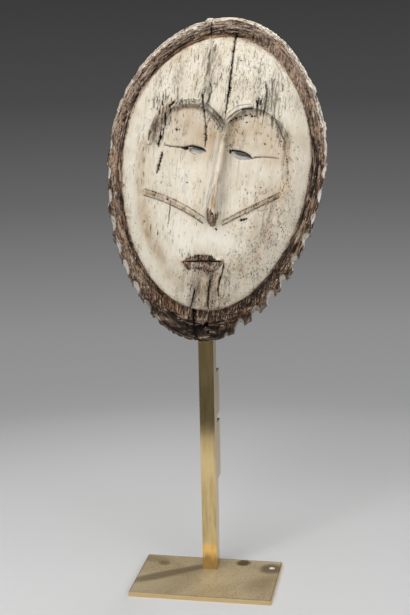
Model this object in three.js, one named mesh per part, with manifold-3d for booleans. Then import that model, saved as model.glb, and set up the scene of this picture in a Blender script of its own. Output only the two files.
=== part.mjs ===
// A carved wooden face mask, its field painted with white clay, on its brass display stand.
// Millimetres, Z up. The origin is the middle of the base plate's underside, and the face looks
// towards -Y. The mask is shaped in a frame of its own: u to its right-hand side as it is seen,
// v up its long axis and w out of the face, with w = 0 on the flat back edge.

import * as THREE from "three";
import { mergeVertices } from "three/addons/utils/BufferGeometryUtils.js";
import Module from "manifold-3d";

const wasm = await Module();
wasm.setup();

// Brass stand: a plate, a square bar, and two sleeves behind the bar that hold the cradle's rod.
const plate = { width: 142, depth: 90, thickness: 5, bevel: 0.5 };
const screwHole = { diameter: 6, x: 62.4, y: 28.7 };
const shallowSeat = { diameter: 13, depth: 0.6, x: 31.3, y: 36.8 };
const post = { width: 15, y: 25.1 };
const sleeve = { width: 15, depth: 14.6 };
const sleeveSpans = { sleeve_upper: [166, 211.5], sleeve_lower: [99, 158.5] };
const rod = { width: 8, bendRadius: 10, shoulderZ: 296, tipLowZ: 322, tipHighZ: 350 };
const jointGap = 0.3;
const faceGap = 1.3;

// How the mask stands: its place, its turn about the upright, its lean and its roll.
const maskPlace = { x: 10.6, y: 46.6, z: 424.1 };
const maskTurn = { turn: 8, lean: 4, roll: 7.8 };

// Half-axes of the white field, and how far each line outside it stands off from that oval.
const field = { side: 88.4, top: 112.5, bottom: 145.8 };
const stepFoot = { side: 1.6, top: 1.6, bottom: 2, w: 29.6 };
const bandMiddle = { side: 5, top: 6, bottom: 7, w: 29 };
const bandLip = { side: 10.5, top: 12, bottom: 14, w: 30.6 };
const toothFront = { side: 14.2, top: 16.4, bottom: 23.5, w: 24 };
const toothBack = { side: 16.7, top: 19.9, bottom: 31.8, w: 12 };
const backEdge = { side: 15.4, top: 18.4, bottom: 29.6, w: 0 };
const hollowEdge = { side: 4, top: 5, bottom: 12, w: 0 };
const bareField = { side: 0, top: 0, bottom: 0 };

// The oval was cut by eye: slow waves in its outline, as [waves round it, reach, phase in degrees].
const unevenness = [[3, 0.8, 125], [4, 0.5, 17], [5, 0.4, -17]];

// Heights of the carving over the back edge.
const dome = { edge: 32.4, rise: 22, fullness: 0.75 };
const hollow = { depth: 38, squareness: 2.6, fullness: 0.5 };
const muzzle = { u: 1, v: -92, rise: 4.5, halfWidth: 36, halfHeight: 25 };
const eyeSink = { deep: 8.5, shallow: 0.8, fromV: 6, toV: -72, sideLoss: 0.62, halfWidth: 68 };
const valley = { depth: 2.4, width: 9 };

// Notches round the edge: how many, how deep, and how much of a pitch each takes.
const notches = { count: 42, depth: 3.4, floor: 0.4, mouth: 0.6, faintDepth: 0.5 };

// Each brow is half an oval, with its own reach towards the nose.
const brows = [
  { u: -28, v: 10, outer: 37.6, inner: 37.6, rise: 41, from: 180, to: 36 },
  { u: 30, v: 12, outer: 37, inner: 31, rise: 42.5, from: 145, to: 20 },
];
const browBand = { halfWidth: 3, lift: 1.2 };

// Sides of the sunk face: straight down from the brows, then drawn in towards the mouth.
const leftSide = { u: -70, bendV: -25, endV: -94, drawIn: 24 };
const rightSide = { u: 69.5, bendV: -5, endV: -94, drawIn: 25 };

// The nose from root to tip, as sections across it.
const noseSections = [
  { v: 36, u: 4.8, base: 5, ridge: 1.8, bottomW: 44, topW: 53.6 },
  { v: 8, u: 3.9, base: 5.8, ridge: 2.4, bottomW: 44, topW: 56.4 },
  { v: -44, u: 1.8, base: 8, ridge: 3.4, bottomW: 45, topW: 65.5 },
  { v: -55, u: 2.8, base: 8.8, ridge: 4.2, bottomW: 45, topW: 65.6 },
  { v: -61, u: 3.4, base: 7.8, ridge: 3, bottomW: 45, topW: 56 },
];

// Raised cheek bands: middle line from the cheek to the nose tip, with a bow, and half width.
const cheekBands = [
  { from: [-65, -38.8], to: [-5, -57.8], bow: 3.2, halfWidth: 3, lift: 1.5 },
  { from: [13, -58], to: [63, -26], bow: 0.5, halfWidth: 2.2, lift: 1.5 },
];

// Eye slits from corner to corner, with the rise of the upper lid and the drop of the lower.
const eyes = [
  { from: [-30.6, 7.4], to: [-10.4, 7], upper: 2.4, lower: 3.8 },
  { from: [12.6, 9.4], to: [33.2, 6.2], upper: 2.4, lower: 4.2 },
];
const lips = { u: -0.4, v: -97, halfWidth: 21.2, halfHeight: 8.2, tilt: 7.4, lift: 3.2 };
const mouthLine = { from: [-18, -98.6], to: [18, -94.2], bow: 0.6, halfWidth: 1, depth: 3.4 };

// Drying cracks: points down each one, its half width and how deep it runs.
const cracks = [
  { line: [[4.4, 121], [3.6, 98], [4.1, 72], [3.5, 40]], halfWidth: 0.9, depth: 7 },
  { line: [[17.4, -107], [16.2, -114], [17.5, -129]], halfWidth: 0.7, depth: 4 },
  { line: [[7.7, -115], [7.4, -128], [8.9, -144.5]], halfWidth: 0.7, depth: 4 },
  { line: [[-6.8, -127], [-5.6, -146.4]], halfWidth: 1, depth: 5 },
];
const chinSplit = { line: [[-5.7, -145], [-1.2, -182]], halfWidth: 1.5, floorW: 22 };
const chinLoss = { line: [[-1, -163], [6, -162.5], [13, -160]], halfWidth: 3, floorW: 17 };

const rad = THREE.MathUtils.degToRad;
const smooth = (x, low, high) => THREE.MathUtils.smoothstep(x, low, high);

// A point of the field's oval grown by a line's stand-off.
function ovalPoint(angle, grow, scale = 1) {
  const c = Math.cos(angle);
  const s = Math.sin(angle);
  const waves = unevenness.map(([n, reach, phase]) => reach * Math.cos(n * angle + rad(phase)));
  const wave = waves[0] + waves[1] + waves[2];
  const wide = field.side + grow.side + wave;
  const tall = wave + (s > 0 ? field.top + grow.top : field.bottom + grow.bottom);
  return [wide * c * scale, tall * s * scale];
}

// How far out a point lies between the middle, 0, and an oval line, 1.
function ovalReach(u, v, grow) {
  const tall = v > 0 ? field.top + grow.top : field.bottom + grow.bottom;
  return Math.hypot(u / (field.side + grow.side), v / tall);
}

// Height of the bulging field, with the muzzle that pushes out round the mouth.
function domeHeight(u, v) {
  const reach = Math.min(1, ovalReach(u, v, bareField));
  const bulge = dome.rise * (1 - reach * reach) ** dome.fullness;
  const across = ((u - muzzle.u) / muzzle.halfWidth) ** 2;
  const along = ((v - muzzle.v) / muzzle.halfHeight) ** 2;
  return dome.edge + bulge + muzzle.rise * Math.exp(-across - along);
}

// Where the sunk face ends at each side.
function sideLine(side, v) {
  const t = THREE.MathUtils.clamp((side.bendV - v) / (side.bendV - side.endV), 0, 1);
  return side.u - Math.sign(side.u) * side.drawIn * t * t;
}

// Height of the sunk face: deepest under the brows, rising to the mouth, with a valley at each side.
function sunkHeight(u, v) {
  const t = smooth(-v, -eyeSink.fromV, -eyeSink.toV);
  const drop = THREE.MathUtils.lerp(eyeSink.deep, eyeSink.shallow, t);
  const loss = eyeSink.sideLoss * Math.min(1, (u / eyeSink.halfWidth) ** 2);
  const inset = Math.min(u - sideLine(leftSide, v), sideLine(rightSide, v) - u);
  const fade = smooth(v, -100, -70);
  const groove = valley.depth * fade * Math.max(0, 1 - Math.max(0, inset) / valley.width);
  return domeHeight(u, v) - drop * (1 - loss) - groove;
}

// Height of the hollow behind the face.
function hollowHeight(reach) {
  const base = Math.max(0, 1 - reach ** hollow.squareness);
  return hollow.depth * base ** hollow.fullness;
}

function geometryFrom(points, faces) {
  const geometry = new THREE.BufferGeometry();
  geometry.setAttribute("position", new THREE.Float32BufferAttribute(points.flat(), 3));
  geometry.setIndex(faces.flat());
  return geometry;
}

// Solids for joining and cutting.
function toSolid(geometry) {
  const bare = geometry.clone();
  bare.deleteAttribute("normal");
  bare.deleteAttribute("uv");
  const merged = mergeVertices(bare, 1e-4);
  return new wasm.Manifold(new wasm.Mesh({
    numProp: 3,
    vertProperties: new Float32Array(merged.attributes.position.array),
    triVerts: new Uint32Array(merged.index.array),
  }));
}

function toGeometry(solid) {
  const mesh = solid.getMesh();
  const geometry = new THREE.BufferGeometry();
  geometry.setAttribute("position", new THREE.BufferAttribute(mesh.vertProperties, 3));
  geometry.setIndex(new THREE.BufferAttribute(mesh.triVerts, 1));
  geometry.computeVertexNormals();
  return geometry;
}

// Joins two closed rings of points, the outer one with as many or twice as many as the inner.
function stitch(faces, inner, outer) {
  const twice = outer.length === 2 * inner.length;
  for (let i = 0; i < inner.length; i += 1) {
    const j = (i + 1) % inner.length;
    if (twice) {
      const a = outer[2 * i];
      const b = outer[2 * i + 1];
      const c = outer[(2 * i + 2) % outer.length];
      faces.push([inner[i], a, b], [inner[i], b, c], [inner[i], c, inner[j]]);
    } else {
      faces.push([inner[i], outer[i], outer[j]], [inner[i], outer[j], inner[j]]);
    }
  }
}

// Notches are deep round the lower edge, faint over the top, and gone at the battered chin.
function notchDepth(angle) {
  const low = smooth(-Math.sin(angle), -0.55, 0.05);
  const chin = smooth(Math.cos(angle + Math.PI / 2 + 0.04), 0.925, 0.96);
  const full = THREE.MathUtils.lerp(notches.faintDepth, notches.depth, low);
  return full * (1 - 0.8 * chin);
}

// The mask's body: bulging field, banded rim, notched edge and hollow back as one closed shell.
function maskShell() {
  const points = [];
  const faces = [];
  const pitch = (2 * Math.PI) / notches.count;
  const phases = [-notches.mouth / 2, -notches.floor / 2, notches.floor / 2, notches.mouth / 2];
  const rimAngles = [];
  const fieldAngles = [];
  for (let k = 0; k < notches.count; k += 1) {
    phases.forEach((phase) => rimAngles.push((k + phase) * pitch));
    fieldAngles.push((k - 0.25) * pitch, (k + 0.25) * pitch);
  }
  const addRing = (list, place) => list.map((angle, i) => points.push(place(angle, i)) - 1);
  const fieldRing = (reach) => addRing(fieldAngles, (angle) => {
    const [u, v] = ovalPoint(angle, bareField, reach);
    return [u, v, domeHeight(u, v)];
  });
  const rimRing = (grow, cut) => addRing(rimAngles, (angle, i) => {
    const inNotch = i % 4 === 1 || i % 4 === 2;
    const depth = inNotch ? cut * notchDepth(angle) : 0;
    const line = { side: grow.side - depth, top: grow.top - depth, bottom: grow.bottom - depth };
    return [...ovalPoint(angle, line), grow.w];
  });
  const hollowRing = (reach) => addRing(fieldAngles, (angle) => {
    return [...ovalPoint(angle, hollowEdge, reach), hollowHeight(reach)];
  });

  const crown = points.push([0, 0, domeHeight(0, 0)]) - 1;
  const front = [0.14, 0.28, 0.42, 0.55, 0.67, 0.78, 0.87, 0.94, 0.985, 1].map(fieldRing);
  front[0].forEach((p, i) => faces.push([crown, p, front[0][(i + 1) % front[0].length]]));
  front.slice(1).forEach((ring, i) => stitch(faces, front[i], ring));
  const rim = [
    rimRing(stepFoot, 0), rimRing(bandMiddle, 0), rimRing(bandLip, 0.25),
    rimRing(toothFront, 0.8), rimRing(toothBack, 1), rimRing(backEdge, 1),
  ];
  stitch(faces, front[front.length - 1], rim[0]);
  rim.slice(1).forEach((ring, i) => stitch(faces, rim[i], ring));

  const back = [0.16, 0.36, 0.56, 0.72, 0.85, 0.94, 0.985, 1].map(hollowRing);
  const inward = [];
  stitch(inward, back[back.length - 1], rim[rim.length - 1]);
  back.slice(1).forEach((ring, i) => stitch(inward, back[i], ring));
  const bottom = points.push([0, 0, hollowHeight(0)]) - 1;
  back[0].forEach((p, i) => inward.push([bottom, p, back[0][(i + 1) % back[0].length]]));
  inward.forEach(([a, b, c]) => faces.push([a, c, b]));
  return toSolid(geometryFrom(points, faces));
}

// A block between two offsets of a carved surface, inside a flat outline. Carving is added with
// it where it stands proud, and cut with it where it is sunk.
function reliefBlock(outline, surface, low, high, cell) {
  const box = new THREE.Box2().setFromPoints(outline);
  const columns = Math.max(1, Math.ceil((box.max.x - box.min.x) / cell));
  const rows = Math.max(1, Math.ceil((box.max.y - box.min.y) / cell));
  const margin = 0.5;
  const points = [];
  const faces = [];
  const at = (i, j, top) => (j * (columns + 1) + i) * 2 + top;
  for (let j = 0; j <= rows; j += 1) {
    for (let i = 0; i <= columns; i += 1) {
      const u = THREE.MathUtils.lerp(box.min.x - margin, box.max.x + margin, i / columns);
      const v = THREE.MathUtils.lerp(box.min.y - margin, box.max.y + margin, j / rows);
      const w = surface(u, v);
      points.push([u, v, w + low], [u, v, w + high]);
    }
  }
  for (let j = 0; j < rows; j += 1) {
    for (let i = 0; i < columns; i += 1) {
      const corners = [[i, j], [i + 1, j], [i + 1, j + 1], [i, j + 1]];
      const [a, b, c, d] = corners.map(([x, y]) => at(x, y, 1));
      const [e, f, g, h] = corners.map(([x, y]) => at(x, y, 0));
      faces.push([a, b, c], [a, c, d], [e, g, f], [e, h, g]);
    }
  }
  const wall = (p, q) => {
    const [a, b] = [at(...p, 0), at(...q, 0)];
    faces.push([a, b, b + 1], [a, b + 1, a + 1]);
  };
  for (let i = 0; i < columns; i += 1) {
    wall([i, 0], [i + 1, 0]);
    wall([i + 1, rows], [i, rows]);
  }
  for (let j = 0; j < rows; j += 1) {
    wall([columns, j], [columns, j + 1]);
    wall([0, j + 1], [0, j]);
  }
  return toSolid(geometryFrom(points, faces)).intersect(prism(outline, -20, 120));
}

function prism(outline, low, high) {
  const geometry = new THREE.ExtrudeGeometry(new THREE.Shape(outline), {
    depth: high - low, bevelEnabled: false, curveSegments: 12,
  });
  geometry.translate(0, 0, low);
  return toSolid(geometry);
}

// A strip of even width along a line of points.
function strip(line, halfWidth) {
  const left = [];
  const right = [];
  line.forEach((point, i) => {
    const before = line[Math.max(0, i - 1)];
    const after = line[Math.min(line.length - 1, i + 1)];
    const side = after.clone().sub(before).normalize().rotateAround(new THREE.Vector2(), Math.PI / 2);
    left.push(point.clone().addScaledVector(side, halfWidth));
    right.unshift(point.clone().addScaledVector(side, -halfWidth));
  });
  return [...right.reverse(), ...left.reverse()];
}

function bowedLine(from, to, bow, steps) {
  const a = new THREE.Vector2(...from);
  const b = new THREE.Vector2(...to);
  const side = b.clone().sub(a).normalize().rotateAround(new THREE.Vector2(), Math.PI / 2);
  const middle = a.clone().lerp(b, 0.5).addScaledVector(side, 2 * bow);
  return new THREE.QuadraticBezierCurve(a, middle, b).getPoints(steps);
}

function pointsOf(list) {
  return list.map(([u, v]) => new THREE.Vector2(u, v));
}

// Points along a brow, off its middle line by a stand-off.
function browArc(brow, standOff, steps = 12) {
  const points = [];
  for (let i = 0; i <= steps; i += 1) {
    const angle = rad(THREE.MathUtils.lerp(brow.from, brow.to, i / steps));
    const outward = Math.cos(angle) < 0 === brow.u < 0 ? brow.outer : brow.inner;
    const u = brow.u + (outward + standOff) * Math.cos(angle);
    const v = brow.v + (brow.rise + standOff) * Math.sin(angle);
    points.push(new THREE.Vector2(u, v));
  }
  return points;
}

// Outline of the sunk face: under both brows, down the side valleys and across below the mouth.
function sunkOutline() {
  const top = brows.flatMap((brow) => browArc(brow, -browBand.halfWidth));
  const down = [];
  const up = [];
  for (let i = 0; i <= 8; i += 1) {
    const v = THREE.MathUtils.lerp(6, leftSide.endV, i / 8);
    down.push(new THREE.Vector2(sideLine(rightSide, v), v));
    up.unshift(new THREE.Vector2(sideLine(leftSide, v), v));
  }
  return [...top, ...down, ...up].reverse();
}

function browOutline(brow) {
  const outer = browArc(brow, browBand.halfWidth);
  const inner = browArc(brow, -browBand.halfWidth);
  return [...inner, ...outer.reverse()];
}

function eyeOutline(eye) {
  const upper = bowedLine(eye.from, eye.to, eye.upper, 8);
  const lower = bowedLine(eye.from, eye.to, -eye.lower, 8);
  return [...lower, ...upper.reverse().slice(1, -1)];
}

function lipOutline() {
  const points = [];
  const steps = 20;
  for (let i = 0; i < steps; i += 1) {
    const angle = (i / steps) * 2 * Math.PI;
    const c = Math.cos(angle);
    const s = Math.sin(angle);
    const point = new THREE.Vector2(lips.halfWidth * c, lips.halfHeight * Math.sign(s) * Math.abs(s) ** 0.8);
    point.rotateAround(new THREE.Vector2(), rad(lips.tilt));
    points.push(point.add(new THREE.Vector2(lips.u, lips.v)));
  }
  return points;
}

function noseSolid() {
  const points = [];
  const faces = [];
  noseSections.forEach((s) => {
    points.push([s.u - s.base, s.v, s.bottomW], [s.u + s.base, s.v, s.bottomW]);
    points.push([s.u + s.ridge, s.v, s.topW], [s.u - s.ridge, s.v, s.topW]);
  });
  for (let k = 0; k < noseSections.length - 1; k += 1) {
    for (let i = 0; i < 4; i += 1) {
      const [a, b] = [4 * k + i, 4 * k + ((i + 1) % 4)];
      faces.push([a, a + 4, b + 4], [a, b + 4, b]);
    }
  }
  const last = points.length - 4;
  faces.push([0, 1, 2], [0, 2, 3], [last, last + 2, last + 1], [last, last + 3, last + 2]);
  return toSolid(geometryFrom(points, faces.map(([a, b, c]) => [a, c, b])));
}

// The mask as one carved piece.
function maskGeometry() {
  const sunk = reliefBlock(sunkOutline(), sunkHeight, 0, 40, 9);
  let solid = maskShell().subtract(sunk);
  solid = solid.add(noseSolid());
  brows.forEach((brow) => {
    solid = solid.add(reliefBlock(browOutline(brow), domeHeight, -6, browBand.lift, 7));
  });
  cheekBands.forEach((band) => {
    const line = bowedLine(band.from, band.to, band.bow, 8);
    solid = solid.add(reliefBlock(strip(line, band.halfWidth), sunkHeight, -4, band.lift, 7));
  });
  solid = solid.add(reliefBlock(lipOutline(), sunkHeight, -4, lips.lift, 6));
  const line = bowedLine(mouthLine.from, mouthLine.to, mouthLine.bow, 6);
  const floor = lips.lift - mouthLine.depth;
  solid = solid.subtract(reliefBlock(strip(line, mouthLine.halfWidth), sunkHeight, floor, 20, 8));
  eyes.forEach((eye) => {
    solid = solid.subtract(prism(eyeOutline(eye), 10, 90));
  });
  cracks.forEach((crack) => {
    const outline = strip(pointsOf(crack.line), crack.halfWidth);
    solid = solid.subtract(reliefBlock(outline, domeHeight, -crack.depth, 20, 12));
  });
  [chinSplit, chinLoss].forEach((loss) => {
    const outline = strip(pointsOf(loss.line), loss.halfWidth);
    solid = solid.subtract(prism(outline, loss.floorW, 60));
  });
  return toGeometry(solid);
}

function plateGeometry() {
  const outline = new THREE.Shape();
  const w = plate.width / 2 - plate.bevel;
  const d = plate.depth / 2 - plate.bevel;
  outline.moveTo(-w, -d).lineTo(w, -d).lineTo(w, d).lineTo(-w, d).closePath();
  const slab = new THREE.ExtrudeGeometry(outline, {
    depth: plate.thickness - 2 * plate.bevel,
    bevelThickness: plate.bevel, bevelSize: plate.bevel, bevelSegments: 1,
  });
  slab.translate(0, 0, plate.bevel);
  const drill = (hole, low) => {
    const round = new THREE.CylinderGeometry(hole.diameter / 2, hole.diameter / 2, 20, 24);
    round.rotateX(Math.PI / 2);
    round.translate(hole.x, hole.y, low + 10);
    return toSolid(round);
  };
  const seatFloor = plate.thickness - shallowSeat.depth;
  const solid = toSolid(slab).subtract(drill(screwHole, -5)).subtract(drill(shallowSeat, seatFloor));
  return toGeometry(solid);
}

function postGeometry(topZ) {
  const height = topZ - plate.thickness;
  const bar = new THREE.BoxGeometry(post.width, post.width, height);
  bar.translate(0, post.y, plate.thickness + height / 2);
  return bar;
}

// Middle of the cradle's rod, front to back.
const rodY = post.y + post.width / 2 + jointGap + sleeve.depth / 2;

function sleeveGeometry([lowZ, highZ]) {
  const outer = new THREE.Shape();
  const halfWidth = sleeve.width / 2;
  const halfDepth = sleeve.depth / 2;
  outer.moveTo(-halfWidth, -halfDepth).lineTo(halfWidth, -halfDepth);
  outer.lineTo(halfWidth, halfDepth).lineTo(-halfWidth, halfDepth).closePath();
  const bore = rod.width / 2 + jointGap;
  const hole = new THREE.Path();
  hole.moveTo(-bore, -bore).lineTo(-bore, bore).lineTo(bore, bore).lineTo(bore, -bore).closePath();
  outer.holes.push(hole);
  const tube = new THREE.ExtrudeGeometry(outer, { depth: highZ - lowZ, bevelEnabled: false });
  tube.translate(0, rodY, lowZ);
  return tube;
}

// The cradle's rod: up behind the bar, forward into the hollow, and up along the inside of the face.
function cradleGeometry(faceYAt) {
  const half = rod.width / 2;
  const lowY = faceYAt(rod.tipLowZ) + half;
  const highY = faceYAt(rod.tipHighZ) + half;
  const corners = pointsOf([
    [rodY, sleeveSpans.sleeve_lower[0]], [rodY, rod.shoulderZ],
    [lowY, rod.tipLowZ], [highY, rod.tipHighZ],
  ]);
  const path = new THREE.CurvePath();
  let start = corners[0];
  for (let i = 1; i < corners.length - 1; i += 1) {
    const back = corners[i - 1].clone().sub(corners[i]).setLength(rod.bendRadius).add(corners[i]);
    const on = corners[i + 1].clone().sub(corners[i]).setLength(rod.bendRadius).add(corners[i]);
    path.add(new THREE.LineCurve(start, back));
    path.add(new THREE.QuadraticBezierCurve(back, corners[i], on));
    start = on;
  }
  path.add(new THREE.LineCurve(start, corners[corners.length - 1]));
  const line = path.getPoints(6);
  const bar = new THREE.ExtrudeGeometry(new THREE.Shape(strip(line, half)), {
    depth: rod.width, bevelEnabled: false,
  });
  // The side view was drawn flat: its first axis becomes Y and its second becomes Z.
  bar.applyMatrix4(new THREE.Matrix4().set(0, 0, 1, -half, 1, 0, 0, 0, 0, 1, 0, 0, 0, 0, 0, 1));
  return bar;
}

const agedBrass = new THREE.MeshStandardMaterial({ color: 0x8a7248, roughness: 0.5, metalness: 1 });
const barBrass = new THREE.MeshStandardMaterial({ color: 0xa5834c, roughness: 0.42, metalness: 1 });
const clayWood = new THREE.MeshStandardMaterial({ color: 0xd6cbb4, roughness: 0.92, metalness: 0 });

function namedMesh(name, geometry, material) {
  const mesh = new THREE.Mesh(geometry, material);
  mesh.name = name;
  return mesh;
}

const group = new THREE.Group();

const turned = new THREE.Group();
turned.position.set(maskPlace.x, maskPlace.y, maskPlace.z);
turned.rotation.z = rad(maskTurn.turn);
const leaning = new THREE.Group();
leaning.rotation.x = Math.PI / 2 - rad(maskTurn.lean);
const mask = namedMesh("mask", maskGeometry(), clayWood);
mask.rotation.z = -rad(maskTurn.roll);
leaning.add(mask);
turned.add(leaning);
group.add(turned);
group.updateMatrixWorld(true);

// The bar ends just under the chin, which stands on it.
const chinZ = new THREE.Box3().setFromObject(mask, true).min.z;
const postTop = chinZ - jointGap;

// The inside of the face along the upright through the bar, less the gap.
function hollowYAt(z) {
  const toMask = mask.matrixWorld.clone().invert();
  const p = new THREE.Vector3(0, post.y, z);
  for (let i = 0; i < 12; i += 1) {
    const q = p.clone().applyMatrix4(toMask);
    p.y += hollowHeight(Math.min(1, ovalReach(q.x, q.y, hollowEdge))) * -1 + q.z;
  }
  return p.y + faceGap;
}

group.add(namedMesh("base_plate", plateGeometry(), agedBrass));
group.add(namedMesh("post", postGeometry(postTop), barBrass));
Object.entries(sleeveSpans).forEach(([name, span]) => {
  group.add(namedMesh(name, sleeveGeometry(span), barBrass));
});
group.add(namedMesh("cradle", cradleGeometry(hollowYAt), barBrass));

export default group;
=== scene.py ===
import math
from types import SimpleNamespace

import bpy
import numpy as np
from mathutils import Matrix, Vector
from mathutils.geometry import delaunay_2d_cdt
from mathutils.kdtree import KDTree


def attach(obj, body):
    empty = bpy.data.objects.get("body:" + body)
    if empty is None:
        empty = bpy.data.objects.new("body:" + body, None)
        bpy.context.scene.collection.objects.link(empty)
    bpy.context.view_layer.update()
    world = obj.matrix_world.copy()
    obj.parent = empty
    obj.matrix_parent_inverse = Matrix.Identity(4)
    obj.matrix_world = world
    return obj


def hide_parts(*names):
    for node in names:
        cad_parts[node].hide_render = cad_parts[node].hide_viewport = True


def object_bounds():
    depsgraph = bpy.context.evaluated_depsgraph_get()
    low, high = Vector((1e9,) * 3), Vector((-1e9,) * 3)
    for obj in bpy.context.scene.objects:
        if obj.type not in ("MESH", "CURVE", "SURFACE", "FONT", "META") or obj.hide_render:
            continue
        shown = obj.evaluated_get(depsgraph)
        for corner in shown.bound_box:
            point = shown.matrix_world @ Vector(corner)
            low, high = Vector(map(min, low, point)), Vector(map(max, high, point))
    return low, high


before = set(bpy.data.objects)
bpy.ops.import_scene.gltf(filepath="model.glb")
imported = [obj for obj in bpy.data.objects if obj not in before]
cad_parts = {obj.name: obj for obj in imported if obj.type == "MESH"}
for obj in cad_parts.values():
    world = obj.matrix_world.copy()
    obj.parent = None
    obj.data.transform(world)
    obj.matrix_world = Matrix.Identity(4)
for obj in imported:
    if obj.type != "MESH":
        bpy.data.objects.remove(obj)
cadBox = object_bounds()
mm = 0.001


# Small helpers for shapes

def ramp(x, low, high):
    t = np.clip((x - low) / (high - low), 0, 1)
    return t * t * (3 - 2 * t)


def between(a, b, t):
    return a + (b - a) * t


def softMax(a, b, reach):
    h = np.clip(0.5 + 0.5 * (b - a) / reach, 0, 1)
    return between(a, b, h) + reach * h * (1 - h)


def makeNoise(seed, size=48):  # smooth noise from -1 to 1, about one swell to a unit
    table = np.random.default_rng(seed).random((size, size, size))

    def noise(x, y, z=0.0):
        axes = np.broadcast_arrays(x, y, z)
        cells = [np.floor(a).astype(int) for a in axes]
        parts = [a - c for a, c in zip(axes, cells)]
        parts = [p * p * (3 - 2 * p) for p in parts]
        total = 0
        for corner in range(8):
            steps = [(corner >> k) & 1 for k in range(3)]
            share = 1
            for part, step in zip(parts, steps):
                share = share * (part if step else 1 - part)
            i, j, k = [(c + s) % size for c, s in zip(cells, steps)]
            total = total + share * table[i, j, k]
        return total * 2 - 1
    return noise


def toLine(u, v, line):  # distance to a line of points, and the share along it
    nearest = np.full(u.shape, 1e9)
    along = np.zeros(u.shape)
    travelled = 0.0
    for (ax, ay), (bx, by) in zip(line[:-1], line[1:]):
        dx, dy = bx - ax, by - ay
        length = math.hypot(dx, dy)
        t = np.clip(((u - ax) * dx + (v - ay) * dy) / length ** 2, 0, 1)
        away = np.hypot(u - ax - t * dx, v - ay - t * dy)
        closer = away < nearest
        nearest = np.where(closer, away, nearest)
        along = np.where(closer, travelled + t * length, along)
        travelled += length
    return nearest, along / travelled


def insideOf(u, v, outline):
    inside = np.zeros(u.shape, bool)
    for (ax, ay), (bx, by) in zip(outline, outline[1:] + outline[:1]):
        crosses = (ay > v) != (by > v)
        at = ax + (v - ay) / (by - ay + 1e-12) * (bx - ax)
        inside ^= crosses & (u < at)
    return inside


def depthInside(u, v, outline):  # distance to a closed outline, positive inside it
    away = toLine(u, v, outline + outline[:1])[0]
    return np.where(insideOf(u, v, outline), away, -away)


def bowed(start, end, bow, steps=12):  # a line with a bow to its left
    dx, dy = end[0] - start[0], end[1] - start[1]
    length = math.hypot(dx, dy)
    points = []
    for i in range(steps + 1):
        t = i / steps
        lift = 4 * bow * t * (1 - t)
        points.append((start[0] + dx * t - dy / length * lift, start[1] + dy * t + dx / length * lift))
    return points


# The mask's form, as the solid has it, and the finer carving on it

mask = {  # in mm and degrees
    "place": (10.6, 46.6, 424.1), "turn": 8, "lean": 4, "roll": 7.8,
    "side": 88.4, "top": 112.5, "bottom": 145.8,  # half-axes of the white field
    "waves": ((3, 0.8, 125), (4, 0.5, 17), (5, 0.4, -17)),  # its unevenness: how many, reach, phase
    "edge": 32.4, "rise": 22, "fullness": 0.75,  # the field's height at its edge, and its dome over that
    "muzzle": (1, -92), "muzzleRise": 4.5, "muzzleHalf": (36, 25),
    "sinkDeep": 8.5, "sinkShallow": 0.8, "sinkFrom": 6, "sinkTo": -72, "sinkLoss": 0.62, "sinkHalf": 68,
    "valleyDepth": 2.4, "valleyWidth": 9,
    "hollow": 38, "hollowEdge": (4, 5, 12), "hollowPower": 2.6, "hollowFullness": 0.5,
    "browHalf": 3, "browLift": 1.2,
    "sides": ((-70, -25, -94, 24), (69.5, -5, -94, 25)),  # u, bend v, end v, how far drawn in
    "sidesFrom": (-12, -7), "sidePoints": 15,
    "leftTemple": [(-70.4, -6), (-69.3, 2), (-66, 9)], "rightTemple": [(63.4, 16), (66.4, 7), (68.7, -1)],
    "lipLift": 3.2, "mouth": ((-18, -98.6), (18, -94.2), 0.6), "mouthCorner": [(-22, -99.6), (-17, -98.6)],
    "slitRise": (0, 5),  # how much higher the eye slits come out behind
    "backRings": (0.16, 0.55, 1),  # rings of points across the flat back edge, as shares of its width
}
brows = (
    {"u": -28, "v": 10, "outer": 37.6, "inner": 37.6, "rise": 41, "from": 180, "to": 36},
    {"u": 30, "v": 12, "outer": 37, "inner": 31, "rise": 42.5, "from": 145, "to": 20},
)
nose = (  # v, u, half width at the foot, half width of the ridge, height of the foot and the ridge
    (40, 4.8, 5, 1.8, 44, 50), (36, 4.8, 5, 1.8, 44, 53.6), (8, 3.9, 5.8, 2.4, 44, 56.4),
    (-44, 1.8, 8, 3.6, 45, 65.5), (-50, 2.3, 8.6, 4.2, 45, 65.6), (-56, 3.1, 8.4, 3.2, 45, 64),
    (-60.5, 3.6, 6.6, 1.6, 45, 57.5), (-63.5, 3.8, 4.4, 0.6, 43, 45),
)
cheeks = (  # middle line from the cheek to the nose, its bow, half width and lift
    ((-65, -38.8), (-5, -57.8), 3.2, 3, 1.5), ((13, -58), (63, -26), 0.5, 2.2, 1.5),
)
eyeCorners = (  # the slits, cut through; their upper lids are carved lines above them
    ((-27.6, 5.9), (-25.1, 4.4), (-21.2, 3.4), (-17.2, 2.6), (-13.5, 3.8), (-11.4, 6), (-15.5, 7.8),
     (-20.4, 8.7), (-24.5, 7.9)),
    ((13, 7.2), (15.8, 3.9), (20, 2), (25.7, 1.9), (31, 2.8), (31.8, 4.6), (28.4, 7), (24, 8.6),
     (19.2, 9.3), (15.5, 8.9)),
)
markNames = (
    "clay", "stain", "grime", "grain", "specks", "dark", "rust", "pale", "bare", "outwards", "upright",
)


def waves(angle):
    return sum(reach * np.cos(n * angle + math.radians(phase)) for n, reach, phase in mask["waves"])


def ovalPoint(angle, side, top, bottom):  # on the field's oval, grown by so much at each end
    tall = np.where(np.sin(angle) > 0, mask["top"] + top, mask["bottom"] + bottom)
    wave = waves(angle)
    return (mask["side"] + side + wave) * np.cos(angle), (tall + wave) * np.sin(angle)


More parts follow.
